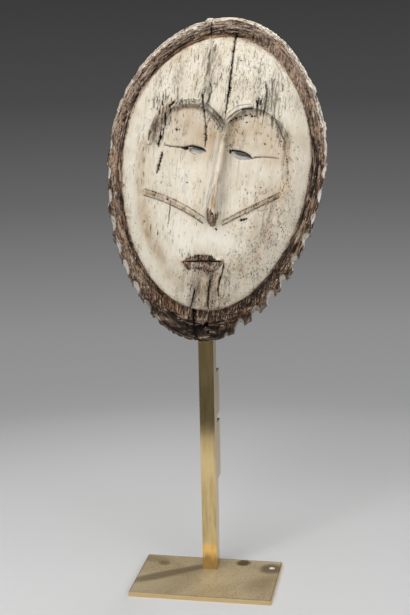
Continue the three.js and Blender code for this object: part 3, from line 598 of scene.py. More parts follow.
def frontMarks(u, v, at):
    marks = {name: np.zeros(u.shape) for name in markNames}
    streak, cloud = layTints(u, v, marks)
    edge = 1 - ovalReach(u, v)
    # The nose's tip and the lips are rubbed back to wood, and the clay thins out at the field's edge
    tip = ramp(-v + 4 * fibre(u / 0.9, v / 16, 2), 44, 50) * ramp(v, -64, -61)
    tip = tip * (1 - ramp(at.noseAway + 0.8 * patch(u / 1.6, v / 3, 2), at.ridge + 0.4, at.ridge + 2.4))
    notch = 2.4 * np.exp(-((u - 12.5) / 4) ** 2 - ((v + 92.6) / 2.8) ** 2)
    lips = ramp(at.lip + 0.9 * fibre(u / 1.1, v / 5, 2) - notch, -0.6, 1.8)
    lips = lips * np.clip(0.5 + 0.5 * streak, 0, 1)
    marks["clay"] = 1 - np.maximum(lips, tip * np.clip(0.5 + 0.6 * streak, 0, 1))
    marks["clay"] -= 0.55 * ramp(0.014 + 0.012 * patch(u / 5, v / 5, 9) - edge, 0, 0.012)
    rimStain = 0.45 * ramp(0.03 + 0.02 * patch(u / 4, v / 6, 8) - edge, 0, 0.03)
    # the sunken heart is tinted below the brows: partly stain, partly painted shade
    heartStainAndShade = 0.16 * ramp(at.heart, 0, 4) * ramp(v, -20, 12) * cloud
    marks["stain"] = np.clip(np.maximum(marks["stain"], rimStain) + heartStainAndShade, 0, 1)
    lowRight = ramp(u - 0.35 * v, 56, 90) * ramp(-v, 6, 40)
    # the chin is darkened: partly dirt, partly painted shade where it faces down
    chin = np.exp(-((u - 7) / 24) ** 2) * ramp(-v, 100, 128)
    dirtAndShade = 0.22 * at.scaled + 0.1 * lowRight + 0.12 * chin + 0.25 * at.band * streak
    marks["grime"] = np.clip(marks["grime"] + dirtAndShade, 0, 1)
    marks["grain"] = np.clip(0.25 + 0.4 * ramp(v, 44, 66) + 0.8 * marks["grime"] + 0.4 * at.scaled, 0, 1)
    specks = 0.1 + 0.6 * lowRight + 0.8 * chin + 0.3 * at.band + 0.3 * at.brow + 0.3 * ramp(v, 46, 60)
    marks["specks"] = np.clip(specks + 0.4 * np.exp(-(edge / 0.06) ** 2) * ramp(-v, -40, 40), 0, 1)
    marks["dark"] = np.maximum(marks["dark"], at.dark)
    marks["upright"] += 1
    return marks


def frontSurface(u, v):
    height, at = carvedForm(u, v)
    height = worn(u, v, height, at)
    return height, frontMarks(u, v, at)


# The rim: a hollowed band round the field, an outer lip, a notched edge and the flat back

rim = {
    "sectors": 900,
    "rows": (  # steps to it, growth at the side, the top and the bottom, height, share of a notch's depth
        (1, 0.5, 0.5, 0.6, 31.7, 0), (1, 1.2, 1.2, 1.4, 30, 0), (2, 2.6, 2.8, 3.2, 28.9, 0),
        (6, 6.4, 7.4, 8.8, 29.8, 0), (3, 8.4, 9.8, 11.4, 29.4, 0), (4, 10.8, 12.4, 14.6, 30.4, 0.1),
        (3, 12.8, 14.8, 18.6, 29.2, 0.5), (5, 15, 17.2, 24.6, 24, 1), (6, 16.6, 19.8, 31.6, 12, 0.3),
        (3, 15.4, 18.4, 29.6, 0, 0.1),
    ),
    "deep": (3.4, 2.6, 6.2), "notches": 42, "half": 0.38, "halfRight": 0.27, "drift": 2.6,
    "chinTurn": math.pi / 2 + 0.04,  # added to an angle, it counts from the chin
    "hang": 6,  # how much lower the chin's ledge hangs, in front of the post's top
    "paleSpots": ((-14, -156, 5), (3.4, -156.6, 6)),  # where the ledge is rubbed: u, v and size
    "topCrack": ([(-20.3, 128), (-18.9, 111.4)], 0.8, 2, 1),
}
rimBreaks = [  # the split chin: a line, half its width, the height left at its floor
    ([(-4.9, -145), (-3.4, -155.4), (-1.8, -165.2), (0.6, -182)], 1.5, 21),
    ([(2, -163), (6, -163.6), (9, -160)], 2.1, 19), ([(8.6, -159.6), (10.2, -157.6)], 1.2, 22),
    ([(4, -166), (9, -168.4), (13.6, -169.8)], 1.6, 20), ([(13.2, -169.5), (22.7, -174)], 0.8, 21),
    ([(9.8, -164.3), (16, -164), (24.3, -162.2)], 0.7, 24),
    ([(-13.6, -166), (-8, -166.6), (-2.4, -168.4)], 0.7, 23),
    ([(-25.8, -152.2), (-20.4, -156.6), (-14, -160.8), (-6.8, -163.4), (2.9, -163)], 0.9, 25),
    ([(10, -162.4), (17.4, -161.4), (29.6, -157.2), (38.8, -152)], 0.9, 25.5),
    ([(-12, -172), (-6, -174.6), (2, -174.4)], 0.6, 18), ([(12, -147.4), (12.6, -152)], 0.6, 27),
    ([(-9.6, -163), (-9.2, -172)], 0.6, 22), ([(20, -163), (20.6, -170)], 0.6, 22),
]
rimKnobs = (  # angle, half width and how far a chip stands proud of the edge
    (-175, 2.2, 1.1), (-159, 2.6, 1.2), (-150, 2, 0.8), (36, 2.4, 1.5), (19, 2.2, 1.3), (2, 2.4, 1.0),
    (118, 1.6, 0.7), (103, 2.4, 0.5), (62, 2, 0.7), (-20, 2, 0.8), (-34, 2, 0.7),
)
rimTints = {  # degrees from and to, softness, distance out from the field, spread and how much
    # the dark zones are partly dark wood and partly painted shadow in the band beside the raised field
    "dark": (
        (-75, 34, 16, 4.6, 3.4, 0.8), (128, 214, 16, 3, 2, 0.45), (70, 128, 16, 5, 3.4, 0.85),
        (214, 258, 16, 4, 2.4, 0.4), (186, 250, 14, 10.4, 1.6, 0.35), (95, 140, 16, 6, 2.6, 0.7),
        (236, 304, 14, 20, 9, 0.7), (-75, 0, 14, 13, 2, 0.5), (232, 308, 16, 5, 7, 0.6),
    ),
    "rust": (
        (126, 236, 16, 9.6, 2.4, 1.0), (148, 244, 14, 6.4, 1.3, 0.8), (-64, 72, 16, 10.4, 1.5, 0.8),
        (36, 128, 18, 2, 2, 0.9), (240, 262, 8, 6, 3, 0.6), (18, 84, 14, 3.6, 4, 1.0),
    ),
    # the pale zones along the band's outer lip are partly worn wood and partly painted highlight where it
    # faces the light
    "pale": (
        (126, 236, 16, 9, 3.4, 1.0), (52, 178, 20, 9.6, 3.2, 0.9), (120, 178, 14, 11.5, 2, 0.9),
        (14, 64, 16, 11, 3.4, 1.0), (168, 250, 14, 8, 2.4, 0.8), (18, 80, 14, 5, 6, 1.0),
    ),
    "stain": ((60, 150, 20, 0.6, 1.4, 0.8),),
}


def rimRows():
    rows = []
    last = (0, 0, 0, mask["edge"], 0)
    for steps, *target in rim["rows"]:
        for i in range(1, steps + 1):
            rows.append([between(a, b, i / steps) for a, b in zip(last, target)])
        last = target
    return np.array(rows)


def turnedFrom(degrees, middle):
    return np.abs((degrees - middle + 180) % 360 - 180)


def rimNotches(angle, share, low, chin, right):  # scooped across the outer corner, as pointed leaves
    rng = np.random.default_rng(5)
    turned = (angle - math.radians(rim["drift"]) * right) / (2 * math.pi / rim["notches"])
    number = np.round(turned).astype(int)
    wobble = rng.uniform(-0.06, 0.06, rim["notches"])[number % rim["notches"]]
    size = rng.uniform(0.85, 1.15, rim["notches"])[number % rim["notches"]]
    half = between(rim["half"], rim["halfRight"], right) * size
    leaf = np.clip(1 - ((turned - number - wobble) / half) ** 2, 0, 1) * (1 - chin)
    leaf = (leaf * between(0.1, 1, low)) ** between(1, 0.6, right)
    cutDown = ramp(-np.sin(angle), 0.2, 0.6) * between(0.45, 1, ramp(np.cos(angle), -0.1, 0.35))
    cutShare = between(share, np.minimum(1, 1.6 * share + 0.35) * (share > 0), cutDown)
    return leaf, between(0.8, 1.4, right) * np.maximum(0, leaf - 1 + cutShare)


def splitChin(u, v, height, dark):  # the chin's deep splits, and the cracks that run out of the field
    for line, half, floor in rimBreaks:
        away = toLine(u, v, line)[0] * (1 + 0.3 * fibre(u / 1.6, v / 4, 7)) + 0.3 * patch(u / 2, v / 2, 5)
        split = ramp(half - away, -0.2, 0.5)
        height = np.where(height > floor, between(height, floor, split), height)
        dark = np.maximum(dark, split)
    runOut = [cut for cut in cracks if cut[0][0][1] > 110] + [rim["topCrack"]]
    depth, black = np.zeros(u.size), np.zeros(u.size)
    cutInto(u.ravel(), v.ravel(), runOut, depth, black)
    return height - depth.reshape(u.shape), np.maximum(dark, black.reshape(u.shape))


def rimMarks(u, v, baseU, baseV, at):
    marks = {name: np.zeros(u.shape) for name in markNames}
    dark = at.dark
    rough = 0.5 + 0.5 * patch(baseU / 7, baseV / 7, at.reach / 2)
    drift = 0.8 * patch(baseU / 18, baseV / 18, 8)
    for name, zones in rimTints.items():
        for start, end, soft, middle, spread, much in zones:
            away = turnedFrom(at.degrees, (start + end) / 2)
            zone = 1 - ramp(away, (end - start - soft) / 2, (end - start + soft) / 2)
            value = zone * np.exp(-((at.reach - middle - drift) / spread) ** 2) * much * (0.55 + 0.9 * rough)
            if name == "dark":
                dark = np.maximum(dark, np.clip(value, 0, 1) * np.clip(0.8 - at.grainy, 0, 1))
            else:
                marks[name] = np.maximum(marks[name], np.clip(value, 0, 1))

    # White is left on the outer wall above and in the leaves of the notches below
    above = 1 - ramp(turnedFrom(at.degrees, 92), 78, 90)
    shoulders = 1 - ramp(np.minimum(turnedFrom(at.degrees, 138), turnedFrom(at.degrees, 40) + 4), 30, 50)
    strip = ramp(at.reach - 13.8 + 2 * shoulders + 1.6 * at.chips - 1.5 * at.fray, 0, 1.2)
    strip = above * strip * (1 - 0.4 * at.fray)
    corner = between(30, 23, ramp(at.down, 0.3, 0.9))
    leaves = ramp(at.notch * rim["deep"][0] - 0.4 * np.abs(at.chips), 0.4, 0.9)
    leaves = leaves * at.low * (1 - 0.3 * at.right) * (1 - ramp(at.level, corner, corner + 3))
    rubbed = np.zeros(u.shape)
    for spotU, spotV, size in rim["paleSpots"]:
        away = np.hypot(u - spotU, (v - spotV) * 1.5) * (1 + 0.35 * at.chips)
        rubbed = np.maximum(rubbed, 1 - ramp(away, 0.5 * size, size))
    field = ramp(1.1 - at.reach + 0.8 * patch(baseU / 3, baseV / 3, 1), 0, 1.2)
    white = np.maximum(strip, leaves)

    ridges = 0.6 * ramp(at.grainy, 0.2, 0.9) * (1 - 0.8 * at.under)
    marks["pale"] = np.maximum.reduce([marks["pale"], ridges, 0.9 * leaves, rubbed])
    marks["rust"] = np.maximum(marks["rust"], 0.5 * rubbed)
    marks["clay"] = np.clip(white + field + 0.3 * rubbed, 0, 1) * (1 - 0.25 * ramp(at.chips, 0.2, 0.8))
    # darker over the chin's ledge and along the bottom of the rim
    darkBelow = np.maximum(0.9 * at.past, 0.5 * at.under * (1 - rubbed))
    marks["grime"] = (0.3 + 0.3 * rough) * (1 - white) + darkBelow
    marks["stain"] = np.maximum(marks["stain"], 0.2)
    marks["grain"] += 0.4
    marks["specks"] += 0.3
    marks["dark"] = dark * (1 - 0.6 * rubbed * (dark < 0.9))
    marks["outwards"] += at.reach / 40
    marks["upright"] += at.upright
    return marks


def rimSurface():
    rows = rimRows()
    level, share = rows[:, 3:4], rows[:, 4:5]
    reach = rows[:, 0:1] + 0.15 * np.maximum(0, 24 - level)  # distance out over the edge, in mm
    angle = np.arange(rim["sectors"]) * 2 * math.pi / rim["sectors"]
    degrees = np.degrees(angle)
    down = -np.sin(angle)
    fromChin = np.cos(angle + rim["chinTurn"])
    baseU, baseV = ovalPoint(angle, 8, 8, 10)
    low = ramp(down, -0.5, 0.1)
    chin = ramp(fromChin, 0.925, 0.96)
    right = ramp(np.cos(angle), 0, 0.4) * ramp(down, 0, 0.5)
    leaf, notch = rimNotches(angle, share, low, chin, right)

    # Between the notches the wood has broken away in blocks across the grain; higher up it is frayed
    chips = patch(baseU / 2.3, baseV / 2.3, reach / 3) + 0.6 * patch(baseU / 1.1, baseV / 1.1, reach / 2)
    blocks = np.round(2.2 * chips) / 2.2
    outwards = ramp(reach, 10.5, 14.5)
    fray = ramp(patch(baseU / 9, baseV / 9, 3), 0.05, 0.5) * (1 - low)
    eaten = (1 - ramp(leaf, 0, 0.2)) * (0.75 - 0.9 * blocks) * between(0.35, 1, low)
    eaten = eaten + 0.8 * fray * (0.6 + chips)
    for middle, half, proud in rimKnobs:
        eaten = eaten - (proud + 0.5) * ramp(half - turnedFrom(degrees, middle), 0, 0.8) * (0.8 + 0.5 * chips)
    eaten = np.clip(eaten, -1.2 * ramp(level, 3, 11), 2.4) * outwards
    side, top, bottom = (
        rows[:, k:k + 1] - notch * rim["deep"][k] - eaten - 0.35 * outwards for k in range(3))
    hang = ramp(level, 11, 17) * (1 - ramp(level, 25, 29.5)) * ramp(fromChin, 0.8, 0.95)
    u, v = ovalPoint(angle[None, :], side, top, bottom + rim["hang"] * hang)

    # The wood has weathered into fibres, along the rim above and with the grain below
    inBand = ramp(reach, 0.3, 2) * (1 - ramp(reach, 13.5, 16))
    past = ramp(reach, 8.6, 9.6) * chin  # the chin's ledge, past the hollowed band
    upright = ramp(down, 0.35, 0.8) * between(0.6, 1, chin) * (1 - past)
    upright = np.maximum(upright, (1 - ramp(turnedFrom(degrees, 52), 20, 34)) * (1 - ramp(reach, 6, 9)))
    strand = between(fibre(reach / 1.1, baseU / 15, baseV / 15), fibre(u / 1.1, v / 15, 4), upright)
    hair = between(fibre(reach / 0.6, baseU / 7, baseV / 7), fibre(u / 0.65, v / 7, 1), upright)
    grainy = strand + 0.6 * hair
    splits = ramp(0.13 - np.abs(strand + 0.2 * hair + 0.12), 0, 0.12)
    layers = fibre(baseU / 9, baseV / 9, reach / 1.2)
    height = level + inBand * (0.9 * grainy - 1.3 * splits + 0.7 * patch(baseU / 5, baseV / 5, reach / 3))
    height += 0.5 * blocks * ramp(reach, 9, 11) * (1 - ramp(reach, 13, 16)) - 0.5 * fray * ramp(reach, 8, 12)
    height -= past * ramp(height, 14, 22) * (2 + 1.1 * layers + 0.7 * chips)

    under = ramp(down, 0.7, 0.93)
    dark = inBand * np.maximum(0.8 * splits, 0.45 * ramp(-grainy, 0.1, 0.9))
    dark = np.maximum(dark * (1 - 0.3 * past), inBand * under * 0.3)
    dark = np.maximum(dark, past * (0.6 + 0.16 * ramp(layers, -0.3, 0.1)))
    height, dark = splitChin(u, v, height, dark)
    at = SimpleNamespace(
        degrees=degrees, down=down, level=level, reach=reach, low=low, right=right, under=under, past=past,
        notch=notch, chips=chips, fray=fray, grainy=grainy, upright=upright, dark=dark)
    return u, v, height, rimMarks(u, v, baseU, baseV, at)


# The mask's points: fine along the carving, coarser elsewhere, in rows across each cut, coarse behind

meshing = {"fine": 0.7, "coarse": 1.3, "behind": 3.2, "acrossCut": (0, -0.9, 0.9, -1.8, 1.8)}


def lattice(spacing):
    rowGap = spacing * math.sqrt(0.75)
    rows = np.arange(-150, 116, rowGap)
    columns = np.arange(-92, 92, spacing)
    u, v = np.meshgrid(columns, rows)
    u = u + np.where(np.arange(len(rows)) % 2, spacing / 2, 0)[:, None]
    return u.ravel(), v.ravel()


def thinned(points, taken, gap):  # the points that keep their distance from the ones already there
    tree = KDTree(len(taken))
    for i, (u, v) in enumerate(taken):
        tree.insert((u, v, 0), i)
    tree.balance()
    return points[[tree.find((u, v, 0))[2] > gap for u, v in points]]


def cutPoints():
    points = []
    for line, half, _, _ in cracks + carvedLines() + seededCuts():
        for (ax, ay), (bx, by) in zip(line[:-1], line[1:]):
            length = math.hypot(bx - ax, by - ay)
            count = max(1, round(length / max(1.0, 2 * half)))
            acrossU, acrossV = -(by - ay) / length, (bx - ax) / length
            for i in range(count):
                u, v = between(ax, bx, (i + 0.5) / count), between(ay, by, (i + 0.5) / count)
                points += [(u + acrossU * s * half, v + acrossV * s * half) for s in meshing["acrossCut"]]
    for u, v, half in holes:
        points.append((u, v))
        for reach, count, turn in ((0.6, 6, 0), (1.1, 9, 0.5)):
            for i in range(count):
                angle = 2 * math.pi * (i + turn) / count
                points.append((u + reach * half * math.cos(angle), v + reach * half * math.sin(angle)))
    points = np.array(points)
    points = points[ovalReach(points[:, 0], points[:, 1]) < 0.985]
    _, first = np.unique(np.round(points / 0.3).astype(int), axis=0, return_index=True)
    return points[np.sort(first)]


def nearCarving(u, v):
    _, away, ridge = noseHeight(u, v)
    near = (away < ridge + 1.6) & (v > -66) & (v < 40)
    for brow in brows:
        near |= toLine(u, v, browLine(brow, -1))[0] < 6
    for start, end, bow, half, _ in cheeks:
        near |= toLine(u, v, bowed(start, end, bow))[0] < half + 1.5
    near |= depthInside(u, v, lipOutline) > -1.5
    for outline in eyes:
        near |= depthInside(u, v, outline) > -2.5
    return near


def frontPoints(ring, loops):
    fixed = np.vstack([ring] + loops)
    taken = np.vstack([fixed, thinned(cutPoints(), fixed, 0.35)])
    u, v = lattice(meshing["fine"])
    fine = np.stack([u, v], -1)[nearCarving(u, v) & (ovalReach(u, v) < 0.99)]
    taken = np.vstack([taken, thinned(fine, taken, 0.45)])
    u, v = lattice(meshing["coarse"])
    return np.vstack([taken, thinned(np.stack([u, v], -1)[ovalReach(u, v) < 0.992], taken, 0.75)])


def fillSheet(points, ring, loops):  # triangles between the outer ring and the loops of the eyes
    edges = []
    start = 0
    for loop in [ring] + loops:
        edges += [(start + i, start + (i + 1) % len(loop)) for i in range(len(loop))]
        start += len(loop)
    result = delaunay_2d_cdt([Vector(p) for p in points], edges, [], 0, 1e-7)
    origin = np.array([ids[0] for ids in result[3]])
    faces = origin[np.array(result[2])]
    a, b, c = (points[faces[:, k]] for k in range(3))
    area = (b[:, 0] - a[:, 0]) * (c[:, 1] - a[:, 1]) - (b[:, 1] - a[:, 1]) * (c[:, 0] - a[:, 0])
    faces = np.where((area < 0)[:, None], faces[:, ::-1], faces)
    middle = (a + b + c) / 3
    onRing = (faces < len(ring)).all(1)
    drop = np.abs(area) < 1e-9
    if onRing.any():
        outside = ~insideOf(middle[onRing, 0], middle[onRing, 1], [tuple(p) for p in ring])
        drop[np.nonzero(onRing)[0][outside]] = True
    for loop in loops:
        drop |= insideOf(middle[:, 0], middle[:, 1], [tuple(p) for p in loop])
    return faces[~drop]


def backSurface(u, v):  # the hollow, smoothed with a curved adze and left bare
    facets = np.abs(patch(u / 15, v / 24, 6)) + 0.5 * np.abs(patch(u / 7, v / 30, 1))
    within = ramp(1 - ovalReach(u, v, *mask["hollowEdge"]), 0, 0.05)
    return hollowHeight(u, v) - 1.5 * facets * within, facets


def behindPoints(angle, inner, loops):
    near = np.stack(ovalPoint(angle[::2], *mask["hollowEdge"]), -1) * 0.99
    u, v = lattice(meshing["behind"])
    inside = np.stack([u, v], -1)[ovalReach(u, v, *mask["hollowEdge"]) < 0.975]
    for loop in loops:
        corners = [tuple(p) for p in loop]
        away = toLine(inside[:, 0], inside[:, 1], corners + corners[:1])[0]
        inside = inside[(away > 1.2) & ~insideOf(inside[:, 0], inside[:, 1], corners)]
    return np.vstack([inner] + loops + [near, inside])


def buildMask():
    sheets, faces = [], []

    def addSheet(points, looks):  # and tell its first point's number
        start = sum(len(sheet) for sheet, _ in sheets)
        sheets.append((points, {name: np.broadcast_to(looks[name], len(points)) for name in markNames}))
        return start

    sectors = rim["sectors"]
    angle = np.arange(sectors) * 2 * math.pi / sectors
    ring = np.stack(ovalPoint(angle, 0, 0, 0), -1)
    loops = [np.array(outline) for outline in eyes]
    front = frontPoints(ring, loops)
    faces.append(fillSheet(front, ring, loops))
    print("front", len(front), "points", len(faces[0]), "triangles")
    height, marks = frontSurface(front[:, 0], front[:, 1])
    addSheet(np.column_stack([front, height]), marks)

    u, v, w, marks = rimSurface()
    marks = {name: np.broadcast_to(value, u.shape).ravel() for name, value in marks.items()}
    start = addSheet(np.stack([u, v, w], -1).reshape(-1, 3), marks)
    rimIds = start + np.arange(u.size).reshape(u.shape)
    faces.extend(quads(np.vstack([np.arange(sectors), rimIds])))

    # The flat back edge, palest as hands have worn it, then the hollow, painted darker the deeper it goes as
    # painted shade
    bareWood = dict.fromkeys(markNames, 0.0) | {"grain": 0.5, "specks": 0.1, "bare": 1.0, "upright": 1.0}
    inner = np.stack(ovalPoint(angle, *mask["hollowEdge"]), -1)
    outer = np.stack([u[-1], v[-1]], -1)
    rings = np.vstack([between(outer, inner, share) for share in mask["backRings"]])
    start = addSheet(np.column_stack([rings, np.zeros(len(rings))]), bareWood | {"pale": 0.34})
    ringIds = start + np.arange(len(rings)).reshape(-1, sectors)
    faces.extend(quads(np.vstack([rimIds[-1:], ringIds])))
    backLoops = [loop + mask["slitRise"] for loop in loops]
    behind = behindPoints(angle, inner, backLoops)
    depth, facets = backSurface(behind[:, 0], behind[:, 1])
    # besides the adze facets, paler near the edge and darker deep in the hollow: painted shade
    pale = np.clip(0.32 * (1 - depth / mask["hollow"]) + 0.5 * facets - 0.2, 0, 0.42)
    dark = 0.3 * ramp(depth, 12, mask["hollow"])
    looks = bareWood | {"pale": pale[sectors:], "dark": dark[sectors:]}
    start = addSheet(np.column_stack([behind, depth])[sectors:], looks)
    behindIds = np.concatenate([ringIds[-1], start + np.arange(len(behind) - sectors)])
    faces.append(behindIds[fillSheet(behind, inner, backLoops)][:, ::-1])

    # Walls of the eye slits, painted pale grey to stand in for the light seen through them, their lower lid
    # sloping up to the back
    start = sectors
    for loop, backLoop in zip(loops, backLoops):
        edge = start + np.arange(len(loop))  # numbered alike in front and behind
        layers = [edge]
        for t in (0.25, 0.5, 0.75):
            wall = np.column_stack([between(loop, backLoop, t), between(height[edge], depth[edge], t)])
            layers.append(addSheet(wall, bareWood | {"pale": 1.0}) + np.arange(len(loop)))
        faces.extend(quads(np.vstack(layers + [behindIds[edge]])[::-1]))
        start += len(loop)
    marks = {name: np.concatenate([looks[name] for _, looks in sheets]) for name in markNames}
    return np.vstack([sheet for sheet, _ in sheets]), np.vstack(faces), marks


def quads(grid):  # closed rings of vertex numbers, from the first row out to the last
    a, b = grid[:-1], grid[1:]
    c, d = np.roll(b, -1, 1), np.roll(a, -1, 1)
    return [np.stack([a, b, c], -1).reshape(-1, 3), np.stack([a, c, d], -1).reshape(-1, 3)]


def floats(values):
    return np.ascontiguousarray(values, np.float32).ravel()


def addMarks(mesh, marks):
    for name, values in marks.items():
        mesh.attributes.new(name, "FLOAT", "POINT").data.foreach_set("value", floats(np.clip(values, 0, 1)))


def meshObject(name, places, faces, marks):
    mesh = bpy.data.meshes.new(name)
    mesh.vertices.add(len(places))
    mesh.vertices.foreach_set("co", floats(places))
    mesh.loops.add(3 * len(faces))
    mesh.loops.foreach_set("vertex_index", np.ascontiguousarray(faces, np.int32).ravel())
    mesh.polygons.add(len(faces))
    mesh.polygons.foreach_set("loop_start", np.arange(0, 3 * len(faces), 3, dtype=np.int32))
    mesh.polygons.foreach_set("use_smooth", np.ones(len(faces), bool))
    mesh.update(calc_edges=True)
    addMarks(mesh, marks)
    return inScene(bpy.data.objects.new(name, mesh))


def inScene(made):
    bpy.context.scene.collection.objects.link(made)
    return made


maskTurn = (Matrix.Rotation(math.radians(mask["turn"]), 4, "Z")
            @ Matrix.Rotation(math.radians(90 - mask["lean"]), 4, "X")
            @ Matrix.Rotation(math.radians(-mask["roll"]), 4, "Z"))
maskMatrix = Matrix.Translation(Vector(mask["place"]) * mm) @ maskTurn


def placed(points):  # from the mask's own millimetres to metres in the frame
    turn = np.array(maskTurn.to_3x3())
    return (points @ turn.T + np.array(mask["place"])) * mm


# Materials

def colour(code):  # sRGB hex to linear
    parts = [int(code[i:i + 2], 16) / 255 for i in (1, 3, 5)]
    return (*[p / 12.92 if p <= 0.04045 else ((p + 0.055) / 1.055) ** 2.4 for p in parts], 1)


def addNode(tree, kind, inputs=None, **settings):  # a node given as an input means its result
    node = tree.nodes.new(kind)
    for name, value in settings.items():
        setattr(node, name, value)
    for name, value in (inputs or {}).items():
        if isinstance(value, bpy.types.Node):
            value = next(socket for socket in value.outputs if socket.enabled)
        if isinstance(value, bpy.types.NodeSocket):
            tree.links.new(value, node.inputs[name])
        else:
            node.inputs[name].default_value = value
    return node


def weighted(tree, parts):  # the sum of some values, each times its share
    total = 0.0
    for value, share in parts:
        total = addNode(tree, "ShaderNodeMath", {0: value, 1: share, 2: total}, operation="MULTIPLY_ADD")
    return total


def layered(tree, surface, layers):  # colours laid over one another, each as far as its factor says
    for factor, top in layers:
        surface = addNode(tree, "ShaderNodeMix", {0: factor, 6: surface, 7: top}, data_type="RGBA")
    return surface


smooth = {"interpolation_type": "SMOOTHSTEP"}
times = {"operation": "MULTIPLY", "use_clamp": True}


def startMaterial(name):
    material = bpy.data.materials.new(name)
    material.use_nodes = True
    material.node_tree.nodes.clear()
    return material, material.node_tree


def setRamp(node, stops):
    elements = node.color_ramp.elements
    while len(elements) > 1:
        elements.remove(elements[-1])
    for i, (position, code) in enumerate(stops):
        element = elements[0] if i == 0 else elements.new(position)
        element.position = position
        element.color = colour(code)


kaolin = {
    "clay": ((0.3, "#CDBFA6"), (0.44, "#DED3BE"), (0.56, "#EAE1D0"), (0.72, "#F4EEE1")),
    "rimWood": ((0.2, "#140C07"), (0.36, "#34231A"), (0.5, "#5F4737"), (0.64, "#93755F"), (0.8, "#C4AB95")),
    # its palest stop, a light grey, is reached on the eye slits' walls, painted to stand in for the light
    # seen through them
    "bareWood": ((0.25, "#4A3828"), (0.5, "#735A42"), (0.7, "#93785A"), (0.95, "#C6C5C1")),
    "stain": "#B3926A", "grime": "#62574B", "pale": "#F6F1E6", "grain": "#6F6254", "flaked": "#43372B",
    "rust": "#A67549", "chalk": "#BDB0A0", "pits": "#1C130D", "dark": "#17100B",
    "clayRelief": 0.00056, "woodRelief": 0.00168,  # in metres; the wood is rougher
    "noises": {  # times to a millimetre along each axis, detail and roughness
        "fine": ((1.1, 0.085, 1.1), 4, 0.55),       # wood fibres about 1 mm wide and 12 mm long
        "straight": ((0.95, 0.06, 0.95), 3, 0.55),  # weathered fibres, 1 mm by 17 mm
        "broad": ((0.2, 0.04, 0.2), 3, 0.55),       # brush strokes and streaks of wash, 5 mm wide
        "blotch": ((0.06, 0.05, 0.06), 3, 0.55),    # patches of thinner clay, about 18 mm
        "grit": ((1.6, 1.1, 1.6), 3, 0.65),         # chalk grain, drawn at 0.7 mm to show
        "flakes": ((0.62, 0.34, 0.62), 3, 0.7),     # crumbs and pits 2 to 3 mm across
    },
    "specks": (0.6, 0.26, 0.6),    # where the clay has flaked off, longer along the grain
    "strands": (0.07, 0.07, 0.9),  # fibres that follow the rim, 1.1 mm apart across it
    "rimWidth": 40,                # how many mm of the rim the mark "outwards" counts as 1
}


